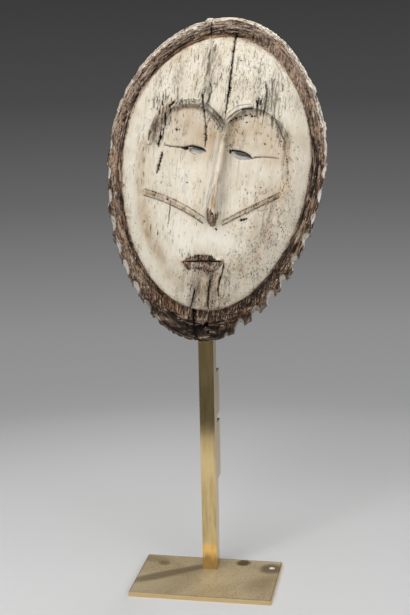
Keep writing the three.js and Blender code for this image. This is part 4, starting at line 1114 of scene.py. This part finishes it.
# Kaolin wash over carved softwood: chalky and matt, thin enough to show the grain, rubbed back to
# dark, fibrous wood on the rim, the lips and the tip of the nose.
def kaolinOnCarvedWood():
    material, tree = startMaterial("kaolin_on_carved_wood")
    place = addNode(tree, "ShaderNodeTexCoord").outputs["Object"]
    inMask = addNode(tree, "ShaderNodeMapping", {
        "Vector": place, "Location": maskMatrix.to_translation(), "Rotation": maskTurn.to_euler("XYZ"),
        "Scale": (mm, mm, mm)}, vector_type="TEXTURE")
    noises, marks = {}, {}
    for name, (scale, detail, roughness) in kaolin["noises"].items():
        spread = addNode(tree, "ShaderNodeMapping", {"Vector": inMask, "Scale": scale})
        noises[name] = addNode(tree, "ShaderNodeTexNoise", {
            "Vector": spread, "Scale": 1.0, "Detail": detail, "Roughness": roughness})
    fine, straight, broad, blotch, grit, flakes = noises.values()
    for name in markNames:
        marks[name] = addNode(tree, "ShaderNodeAttribute", attribute_name=name).outputs["Fac"]

    # Specks where the clay has flaked off
    spread = addNode(tree, "ShaderNodeMapping", {"Vector": inMask, "Scale": kaolin["specks"]})
    cells = addNode(tree, "ShaderNodeTexVoronoi", {"Vector": spread, "Scale": 1.0}).outputs
    chosen = addNode(tree, "ShaderNodeSeparateColor", {"Color": cells["Color"]})
    near = addNode(tree, "ShaderNodeMapRange", {
        "Value": cells["Distance"], "From Min": 0.12, "From Max": 0.26, "To Min": 1.0,
        "To Max": 0.0}, **smooth)
    often = addNode(tree, "ShaderNodeMath", {0: marks["specks"], 1: chosen}, operation="SUBTRACT")
    common = addNode(tree, "ShaderNodeMapRange", {
        "Value": often, "From Min": -0.02, "From Max": 0.1}, **smooth)
    specks = addNode(tree, "ShaderNodeMath", {0: near, 1: common}, **times)

    # The clay, with what has soaked into it and what lies in its grain; the stain and grime marks also carry
    # painted shade, and the pale mark painted highlights
    surface = addNode(tree, "ShaderNodeValToRGB", {
        "Fac": weighted(tree, ((blotch, 0.4), (broad, 0.25), (fine, 0.2), (grit, 0.15)))})
    setRamp(surface, kaolin["clay"])
    soaked = addNode(tree, "ShaderNodeMath", {0: broad, 1: 0.35}, operation="ADD")
    filled = addNode(tree, "ShaderNodeMath", {0: fine, 1: 1.1, 2: 0.25}, operation="MULTIPLY_ADD")
    lines = addNode(tree, "ShaderNodeMapRange", {
        "Value": fine, "From Min": 0.52, "From Max": 0.64, "To Max": 0.7}, **smooth)
    for name, share in (("stain", soaked), ("grime", filled), ("pale", 0.8), ("grain", lines)):
        laid = addNode(tree, "ShaderNodeMath", {0: marks[name], 1: share}, **times)
        surface = layered(tree, surface, [(laid, colour(kaolin[name]))])
    gone = addNode(tree, "ShaderNodeMath", {0: specks, 1: 0.85}, **times)
    surface = layered(tree, surface, [(gone, colour(kaolin["flaked"]))])

    # Weathered fibres, along the rim or with the grain
    spot = addNode(tree, "ShaderNodeSeparateXYZ", {"Vector": inMask}).outputs
    reach = addNode(tree, "ShaderNodeMath", {
        0: marks["outwards"], 1: kaolin["rimWidth"]}, operation="MULTIPLY")
    alongRim = addNode(tree, "ShaderNodeCombineXYZ", {"X": spot["X"], "Y": spot["Y"], "Z": reach})
    spread = addNode(tree, "ShaderNodeMapping", {"Vector": alongRim, "Scale": kaolin["strands"]})
    bent = addNode(tree, "ShaderNodeTexNoise", {"Vector": spread, "Scale": 1.0, "Detail": 3.0})
    strand = addNode(tree, "ShaderNodeMix", {0: marks["upright"], 2: bent, 3: straight})
    fibres = addNode(tree, "ShaderNodeMapRange", {
        "Value": strand, "From Min": 0.36, "From Max": 0.62}, **smooth)
    wood = addNode(tree, "ShaderNodeValToRGB", {
        "Fac": weighted(tree, ((fibres, 0.5), (grit, 0.25), (fine, 0.2), (marks["pale"], 0.22)))})
    setRamp(wood, kaolin["rimWood"])
    bare = addNode(tree, "ShaderNodeValToRGB", {
        "Fac": weighted(tree, ((fine, 0.6), (broad, 0.4), (marks["pale"], 0.5)))})
    setRamp(bare, kaolin["bareWood"])
    patches = addNode(tree, "ShaderNodeMapRange", {
        "Value": weighted(tree, ((broad, 0.5), (fibres, 0.5))), "From Min": 0.3, "From Max": 0.6,
        "To Max": 0.8}, **smooth)
    rusty = addNode(tree, "ShaderNodeMath", {0: marks["rust"], 1: patches}, **times)

    # Where the wood isn't grimy, chalk is left in its pores, and pits show
    clean = addNode(tree, "ShaderNodeMapRange", {
        "Value": marks["grime"], "From Min": 0.6, "From Max": 0.95, "To Min": 1.0, "To Max": 0.0}, **smooth)
    pores = addNode(tree, "ShaderNodeMapRange", {
        "Value": weighted(tree, ((flakes, 1.0), (marks["pale"], 0.14))), "From Min": 0.55, "From Max": 0.66,
        "To Max": 0.6}, **smooth)
    chalky = addNode(tree, "ShaderNodeMath", {0: pores, 1: clean}, **times)
    dents = addNode(tree, "ShaderNodeMapRange", {
        "Value": flakes, "From Min": 0.46, "From Max": 0.36}, **smooth)
    seen = addNode(tree, "ShaderNodeMath", {0: clean, 1: 0.35, 2: 0.2}, operation="MULTIPLY_ADD")
    pitted = addNode(tree, "ShaderNodeMath", {0: dents, 1: seen}, **times)
    wood = layered(tree, wood, (
        (rusty, colour(kaolin["rust"])), (chalky, colour(kaolin["chalk"])), (pitted, colour(kaolin["pits"])),
        (marks["bare"], bare)))

    # The clay ends in a crumbly edge; the cracks are dark through both
    clay = addNode(tree, "ShaderNodeMapRange", {
        "Value": weighted(tree, ((marks["clay"], 1.0), (grit, 0.9), (fine, 0.8))),
        "From Min": 1.19, "From Max": 1.51}, **smooth)
    surface = layered(tree, wood, ((clay, surface), (marks["dark"], colour(kaolin["dark"]))))

    rippled = addNode(tree, "ShaderNodeMix", {0: clay, 2: strand, 3: fine})
    bumps = weighted(tree, ((rippled, 0.6), (grit, 0.4), (specks, -0.7)))
    depth = addNode(tree, "ShaderNodeMapRange", {
        "Value": clay, "To Min": kaolin["woodRelief"], "To Max": kaolin["clayRelief"]})
    relief = addNode(tree, "ShaderNodeBump", {"Height": bumps, "Strength": 0.9, "Distance": depth})
    rough = addNode(tree, "ShaderNodeMapRange", {"Value": clay, "From Min": -1.4, "From Max": 1.3}, **smooth)
    shader = addNode(tree, "ShaderNodeBsdfPrincipled", {
        "Base Color": surface, "Roughness": rough, "Normal": relief, "IOR": 1.45, "Specular IOR Level": 0.25})
    addNode(tree, "ShaderNodeOutputMaterial", {"Surface": shader})
    return material


bar = {
    "bright": "#E4CA94", "dull": "#BFA673", "roughness": 0.12,
    "grain": (2500, 2500, 30),  # drawn lines up the bar, 0.4 mm apart; times to a metre, as are the next two
    "spots": (300, 300, 35), "cloud": 14.0,
    "marks": (  # brown marks in mm: place, half sizes, turn, how much and their tone
        ((0, 0, 6), (40, 40, 20), 0, 0.85, "#84704A"), ((0, 0, 236), (40, 40, 26), 0, 0.3, "#8A7850"),
    ),
}
plate = {
    "X": 71, "Y": 45, "thick": 5,  # in mm, half its length, half its width and its height
    "bright": "#E9D9B7", "dull": "#D1BD99", "roughness": 0.66,
    "grain": (40, 1800, 1800), "spots": (420, 420, 420), "cloud": 26.0,
    "top": (-0.7, -0.4),  # in mm from its top, where the sides end and the top begins
    "edge": (-1.6, -0.5), "edgeTone": "#5E4E32", "edgeShare": 0.5,  # darker along the top's edges
    "side": (-0.8, -0.4), "sideTone": "#DCC696", "sideShare": 0.9,
    "hole": (62.4, 28.7, 2.5), "holeRadii": (3.3, 3.9), "holeHighlightTone": "#FFFFFF",
    "marks": (
        ((-50, 26, 5), (8, 7, 6), 0, 0.55, "#7E6440"), ((62, 26, 5), (14, 13, 6), 0, 0.7, "#7C6644"),
        # the long mark centred at (-40, 2) and turned 34 degrees is the post's shadow, painted onto the plate
        ((31.3, 36.8, 5), (8.4, 8.4, 6), 0, 0.85, "#6A5638"), ((-40, 2, 5), (52, 9, 6), 34, 0.6, "#7E6A48"),
        ((-62, 34, 5), (22, 10, 6), -10, 0.3, "#8A7450"), ((56, -10, 5), (26, 16, 6), 60, 0.2, "#8A7450"),
    ),
}


# Brass, drawn bar and plate: a fine brushed grain gives long soft highlights, and handling has browned it
# unevenly. On the plate, the post's shadow and a highlight in the drilled hole are painted in.
def brushedBrass(name, look):
    material, tree = startMaterial(name)
    place = addNode(tree, "ShaderNodeTexCoord").outputs["Object"]
    drawn = addNode(tree, "ShaderNodeMapping", {"Vector": place, "Scale": look["grain"]})
    strokes = addNode(tree, "ShaderNodeTexNoise", {"Vector": drawn, "Scale": 1.0, "Detail": 3.0})
    spotted = addNode(tree, "ShaderNodeMapping", {"Vector": place, "Scale": look["spots"]})
    mottle = addNode(tree, "ShaderNodeTexNoise", {"Vector": spotted, "Scale": 1.0, "Detail": 4.0})
    clouds = addNode(tree, "ShaderNodeTexNoise", {
        "Vector": place, "Scale": look["cloud"], "Detail": 4.0, "Distortion": 0.6})
    tarnish = weighted(tree, ((clouds, 0.5), (mottle, 0.5)))
    dulled = addNode(tree, "ShaderNodeMapRange", {
        "Value": tarnish, "From Min": 0.4, "From Max": 0.66}, **smooth)
    layers = [(dulled, colour(look["dull"]))]
    for spot, half, turned, much, brown in look["marks"]:
        nearby = addNode(tree, "ShaderNodeMapping", {
            "Vector": place, "Location": [c * mm for c in spot], "Rotation": (0, 0, math.radians(turned)),
            "Scale": [c * mm for c in half]}, vector_type="TEXTURE")
        away = addNode(tree, "ShaderNodeVectorMath", {0: nearby}, operation="LENGTH").outputs["Value"]
        inside = addNode(tree, "ShaderNodeMapRange", {
            "Value": weighted(tree, ((away, 1.0), (tarnish, 1.6))), "From Min": 1.9, "From Max": 1.3,
            "To Max": much}, **smooth)
        layers.append((inside, colour(brown)))
    metal = 1.0
    if "hole" in look:  # the plate: darker along the top's edges, brighter on the sides
        spot = addNode(tree, "ShaderNodeSeparateXYZ", {"Vector": place}).outputs
        low, high = [(look["thick"] + away) * mm for away in look["top"]]
        onTop, below = [addNode(tree, "ShaderNodeMapRange", {
            "Value": spot["Z"], "From Min": low, "From Max": high, "To Min": start, "To Max": end}, **smooth)
            for start, end in ((0.0, 1.0), (1.0, 0.0))]
        beside = {}
        for number, axis in enumerate(("X", "Y")):
            across = addNode(tree, "ShaderNodeMath", {0: spot[axis]}, operation="ABSOLUTE")
            beside[number] = addNode(tree, "ShaderNodeMath", {
                0: across, 1: look[axis] * mm}, operation="SUBTRACT")
        outwards = addNode(tree, "ShaderNodeMath", beside, operation="MAXIMUM")
        for part, where in (("edge", onTop), ("side", below)):
            low, high = [away * mm for away in look[part]]
            reach = addNode(tree, "ShaderNodeMapRange", {
                "Value": outwards, "From Min": low, "From Max": high,
                "To Max": look[part + "Share"]}, **smooth)
            laid = addNode(tree, "ShaderNodeMath", {0: reach, 1: where}, **times)
            layers.append((laid, colour(look[part + "Tone"])))
        # The drilled hole is painted white and not metal: a painted highlight
        away = addNode(tree, "ShaderNodeVectorMath", {
            0: place, 1: [c * mm for c in look["hole"]]}, operation="DISTANCE").outputs["Value"]
        low, high = [radius * mm for radius in look["holeRadii"]]
        metal = addNode(tree, "ShaderNodeMapRange", {
            "Value": away, "From Min": low, "From Max": high}, **smooth)
        inHole = addNode(tree, "ShaderNodeMath", {0: 1.0, 1: metal}, operation="SUBTRACT")
        layers.append((inHole, colour(look["holeHighlightTone"])))
    surface = layered(tree, colour(look["bright"]), layers)
    rough = addNode(tree, "ShaderNodeMapRange", {
        "Value": strokes, "To Min": 0.7 * look["roughness"], "To Max": 1.4 * look["roughness"]})
    relief = addNode(tree, "ShaderNodeBump", {"Height": strokes, "Strength": 0.25, "Distance": 0.0001})
    shader = addNode(tree, "ShaderNodeBsdfPrincipled", {
        "Base Color": surface, "Metallic": metal, "Roughness": rough, "Normal": relief})
    addNode(tree, "ShaderNodeOutputMaterial", {"Surface": shader})
    return material


# Splinters lie along the worn rim, one on each chosen point of its surface

splinters = {
    "count": 1100, "seed": 8, "long": (3, 12), "half": (0.26, 0.55), "lift": (-0.02, 0.1), "waver": 0.12,
    "roundness": 1, "margin": 0.0015,  # metres that they keep from the sides of the solids' box
}


def splinterPoints():
    rng = np.random.default_rng(splinters["seed"])
    u, v, w, marks = rimSurface()
    surface = np.stack([u, v, w], -1)
    rows, sectors = u.shape
    row = rng.integers(5, rows - 6, splinters["count"])
    column = rng.integers(0, sectors, splinters["count"])
    along = surface[row, (column + 2) % sectors] - surface[row, column - 2]
    out = surface[row + 1, column] - surface[row - 1, column]
    along, out = (d / np.linalg.norm(d, axis=1, keepdims=True) for d in (along, out))
    normal = np.cross(out, along)
    normal /= np.linalg.norm(normal, axis=1, keepdims=True)
    grain = np.array([0, 1, 0]) - normal * normal[:, 1:2]
    grain = np.where((rng.random(len(row)) < marks["upright"][row, column])[:, None], grain, along)
    long = rng.uniform(*splinters["long"], len(row)) * (0.5 + 0.5 * rng.random(len(row)))
    half = rng.uniform(*splinters["half"], len(row))
    grain = grain + normal * rng.uniform(*splinters["lift"], (len(row), 1))
    points = surface[row, column] + 0.3 * normal * half[:, None]
    ends = placed(np.stack([points + way * grain * (long / 2)[:, None] for way in (-1, 1)]))
    low, high = np.array(cadBox[0]) + splinters["margin"], np.array(cadBox[1]) - splinters["margin"]
    inside = ((ends > low) & (ends < high)).all((0, 2))
    looks = {name: value[row, column][inside] for name, value in marks.items()}
    chance = rng.random(inside.sum())
    white = (looks["clay"] > 0.4) | (chance < 0.12)
    looks["clay"] = np.where(white, 0.5 + 0.4 * chance, 0)
    looks["dark"] = np.where(chance > 0.6, rng.uniform(0.3, 0.9, len(chance)), 0)
    looks["pale"] = np.maximum(looks["pale"], rng.random(len(chance)))
    sizes = np.stack([half, 0.8 * half, long / 2], -1)[inside] * mm
    return placed(points[inside]), grain[inside] @ np.array(maskTurn.to_3x3()).T, sizes, looks


def splinterTree(material):
    tree = bpy.data.node_groups.new("splinters", "GeometryNodeTree")
    sockets = {}
    for name, kind in (("Points", "Geometry"), ("Roundness", "Int"), ("Waver", "Float"), ("Seed", "Int")):
        made = tree.interface.new_socket(name, in_out="INPUT", socket_type="NodeSocket" + kind)
        sockets[name] = made.identifier
    tree.interface.new_socket("Splinters", in_out="OUTPUT", socket_type="NodeSocketGeometry")

    own = {}
    for name in ("heading", "size"):
        own[name] = addNode(tree, "GeometryNodeInputNamedAttribute", {"Name": name}, data_type="FLOAT_VECTOR")
    given = addNode(tree, "NodeGroupInput").outputs
    chance = addNode(tree, "FunctionNodeRandomValue", {
        0: (-1, -1, -1), 1: (1, 1, 1), "Seed": given["Seed"]}, data_type="FLOAT_VECTOR")
    sway = addNode(tree, "ShaderNodeVectorMath", {0: chance, "Scale": given["Waver"]}, operation="SCALE")
    heading = addNode(tree, "ShaderNodeVectorMath", {0: own["heading"], 1: sway})
    turn = addNode(tree, "FunctionNodeAlignRotationToVector", {"Vector": heading}, axis="Z")
    spindle = addNode(tree, "GeometryNodeMeshIcoSphere", {"Radius": 1.0, "Subdivisions": given["Roundness"]})
    spread = addNode(tree, "GeometryNodeInstanceOnPoints", {
        "Points": given["Points"], "Instance": spindle, "Rotation": turn, "Scale": own["size"]})
    joined = addNode(tree, "GeometryNodeRealizeInstances", {"Geometry": spread})
    dressed = addNode(tree, "GeometryNodeSetMaterial", {"Geometry": joined, "Material": material})
    addNode(tree, "NodeGroupOutput", {"Splinters": dressed})
    return tree, sockets


def growSplinters(material):
    points, grain, sizes, looks = splinterPoints()
    cloud = bpy.data.meshes.new("splinter_points")
    cloud.vertices.add(len(points))
    cloud.vertices.foreach_set("co", floats(points))
    for name, values in (("heading", grain), ("size", sizes)):
        cloud.attributes.new(name, "FLOAT_VECTOR", "POINT").data.foreach_set("vector", floats(values))
    addMarks(cloud, looks)
    holder = inScene(bpy.data.objects.new("splinter_points", cloud))
    tree, sockets = splinterTree(material)
    modifier = holder.modifiers.new("splinters", "NODES")
    modifier.node_group = tree
    for name in ("Roundness", "Waver", "Seed"):
        modifier[sockets[name]] = splinters[name.lower()]
    grown = bpy.data.meshes.new_from_object(holder.evaluated_get(bpy.context.evaluated_depsgraph_get()))
    bpy.data.objects.remove(holder)
    places = np.zeros(3 * len(grown.vertices), np.float32)
    grown.vertices.foreach_get("co", places)
    corners = np.zeros(len(grown.loops), np.int32)
    grown.loops.foreach_get("vertex_index", corners)
    marks = {name: np.zeros(len(grown.vertices), np.float32) for name in looks}
    for name, values in marks.items():
        grown.attributes[name].data.foreach_get("value", values)
    return places.reshape(-1, 3), corners.reshape(-1, 3), marks


# The pieces

kaolinWood = kaolinOnCarvedWood()
maskPlaces, maskFaces, maskMarks = buildMask()
splinterPlaces, splinterFaces, splinterMarks = growSplinters(kaolinWood)
print("splinters", len(splinterFaces), "triangles")
maskObject = meshObject(
    "carved_mask",
    np.clip(np.vstack([placed(maskPlaces), splinterPlaces]), *cadBox),  # nothing stands past the solids
    np.vstack([maskFaces, splinterFaces + len(maskPlaces)]),
    {name: np.concatenate([maskMarks[name], splinterMarks[name]]) for name in markNames})
maskObject.data.materials.append(kaolinWood)
print("mask", len(maskObject.data.vertices), "points", len(maskObject.data.polygons), "triangles")

drawnBar = brushedBrass("drawn_brass_bar", bar)
agedPlate = brushedBrass("aged_brass_plate", plate)
stand = {
    "base_plate": agedPlate, "post": drawnBar, "sleeve_upper": drawnBar, "sleeve_lower": drawnBar,
    "cradle": drawnBar,
}
for name, material in stand.items():
    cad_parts[name].data.materials.clear()
    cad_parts[name].data.materials.append(material)
print("stand", len(stand), "brass pieces")


# Stage, light and camera

stage = {
    "floorReach": 1.3, "fadeFrom": 0.3, "fadeTo": 0.75, "floorTone": "#E2E2E2",
    "tones": (  # of the paper all round: how steeply one looks down (-) or up at it, as a sine
        (-0.46, "#D4D4D4"), (-0.4, "#C8C8C8"), (-0.335, "#B0B0B0"), (-0.3, "#989898"), (-0.24, "#8E8E8E"),
        (-0.14, "#666666"), (-0.06, "#4A4A4A"), (0.02, "#3C3C3C"), (0.4, "#585858"),
    ),
    "flags": (  # cards that lie in front, for the brass to mirror: name, height, corners, what of and tone
        ("flag_far", 0.004, (
            (-0.8, -1.6), (0.8, -1.6), (0.8, -0.4), (-0.8, -0.4),
        ), "matt_grey_card", "#6A6A6A"),
        ("flag_near", 0.008, (
            (-0.8, -0.67), (-0.123, -0.67), (-0.106, -0.55), (0.8, -0.55), (0.8, -0.4), (-0.8, -0.4),
        ), "matt_black_card", "#343434"),
    ),
    "lights": (  # name, place, what it points at, size, power and spread in degrees
        ("key", (-0.46, -1.34, 1.35), (0, 0, 0.4), 1.1, 20, 180),
        ("fill", (1.0, -1.35, 0.9), (0, 0, 0.35), 1.2, 12, 180),
        ("top", (0.1, 0.1, 1.5), (0, 0.1, 0), 0.9, 6, 180),
        ("back", (0.8, 1.2, 0.8), (0, 0.05, 0.48), 0.6, 1, 34),
    ),
}
camera = {  # worked out from the plate's corners and the post's edges
    "place": (0.21940, -1.13950, 0.55178), "yaw": 10.73, "pitch": 12.95, "roll": -1.18,
    "lens": 1235.8, "pictureHeight": 615,  # in pixels
    "sensor": 36,
}


def flatSheet(name, corners, height, material):
    mesh = bpy.data.meshes.new(name)
    mesh.from_pydata([(x, y, height) for x, y in corners], [], [tuple(range(len(corners)))])
    mesh.materials.append(material)
    made = inScene(bpy.data.objects.new(name, mesh))
    return made


def paperFloor():  # pale matt paper, which fades out into the tone of the studio behind it
    material, tree = startMaterial("matt_paper")
    place = addNode(tree, "ShaderNodeTexCoord")
    away = addNode(tree, "ShaderNodeVectorMath", {0: place.outputs["Object"]}, operation="LENGTH")
    fade = addNode(tree, "ShaderNodeMapRange", {
        "Value": away.outputs["Value"], "From Min": stage["fadeFrom"], "From Max": stage["fadeTo"],
        "To Min": 1.0, "To Max": 0.0}, interpolation_type="SMOOTHSTEP")
    shader = addNode(tree, "ShaderNodeBsdfPrincipled", {
        "Base Color": colour(stage["floorTone"]), "Roughness": 0.9, "Specular IOR Level": 0.1,
        "Alpha": fade.outputs[0]})
    addNode(tree, "ShaderNodeOutputMaterial", {"Surface": shader.outputs[0]})
    turns = [2 * math.pi * i / 64 for i in range(64)]
    reach = stage["floorReach"]
    flatSheet("paper_floor", [(reach * math.cos(a), reach * math.sin(a)) for a in turns], 0, material)


def darkCards():  # matt card, whose dark tone shows only as the low part of the brass's reflections
    for name, height, corners, card, tone in stage["flags"]:
        material, tree = startMaterial(card)
        shader = addNode(tree, "ShaderNodeBsdfPrincipled", {"Base Color": colour(tone), "Roughness": 0.9})
        addNode(tree, "ShaderNodeOutputMaterial", {"Surface": shader.outputs[0]})
        sheet = flatSheet(name, corners, height, material)
        sheet.visible_camera = False
        sheet.visible_shadow = False


def studioTone():
    world = bpy.data.worlds.new("studio")
    world.use_nodes = True
    tree = world.node_tree
    tree.nodes.clear()
    ahead = addNode(tree, "ShaderNodeTexCoord").outputs["Generated"]
    rise = addNode(tree, "ShaderNodeSeparateXYZ", {"Vector": ahead}).outputs["Z"]
    along = addNode(tree, "ShaderNodeMapRange", {"Value": rise, "From Min": -0.5, "From Max": 0.5})
    tones = addNode(tree, "ShaderNodeValToRGB", {"Fac": along.outputs[0]})
    setRamp(tones, [(sine + 0.5, code) for sine, code in stage["tones"]])
    glow = addNode(tree, "ShaderNodeBackground", {"Color": tones.outputs["Color"], "Strength": 1.0})
    addNode(tree, "ShaderNodeOutputWorld", {"Surface": glow.outputs[0]})
    bpy.context.scene.world = world


def softBox(name, place, target, size, power, spread):
    light = bpy.data.lights.new(name, "AREA")
    light.shape = "SQUARE"
    light.size = size
    light.energy = power
    light.spread = math.radians(spread)
    made = inScene(bpy.data.objects.new(name, light))
    made.location = place
    made.rotation_euler = (Vector(target) - Vector(place)).to_track_quat("-Z", "Y").to_euler()
    made.visible_camera = False


def addCamera():
    yaw, pitch, roll = (math.radians(camera[name]) for name in ("yaw", "pitch", "roll"))
    ahead = Vector((-math.sin(yaw) * math.cos(pitch), math.cos(yaw) * math.cos(pitch), -math.sin(pitch)))
    level = Vector((math.cos(yaw), math.sin(yaw), 0))
    upright = level.cross(ahead)
    right = math.cos(roll) * level + math.sin(roll) * upright
    up = math.cos(roll) * upright - math.sin(roll) * level
    data = bpy.data.cameras.new("camera")
    data.sensor_width = camera["sensor"]
    data.lens = camera["lens"] / camera["pictureHeight"] * camera["sensor"]
    made = inScene(bpy.data.objects.new("camera", data))
    turned = Matrix((right, up, -ahead)).transposed().to_4x4()
    made.matrix_world = Matrix.Translation(camera["place"]) @ turned
    bpy.context.scene.camera = made


paperFloor()
darkCards()
studioTone()
for light in stage["lights"]:
    softBox(*light)
addCamera()
bpy.context.scene.view_settings.view_transform = "Standard"
print("stage", len(stage["lights"]), "lights")

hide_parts("mask")
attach(maskObject, "root")
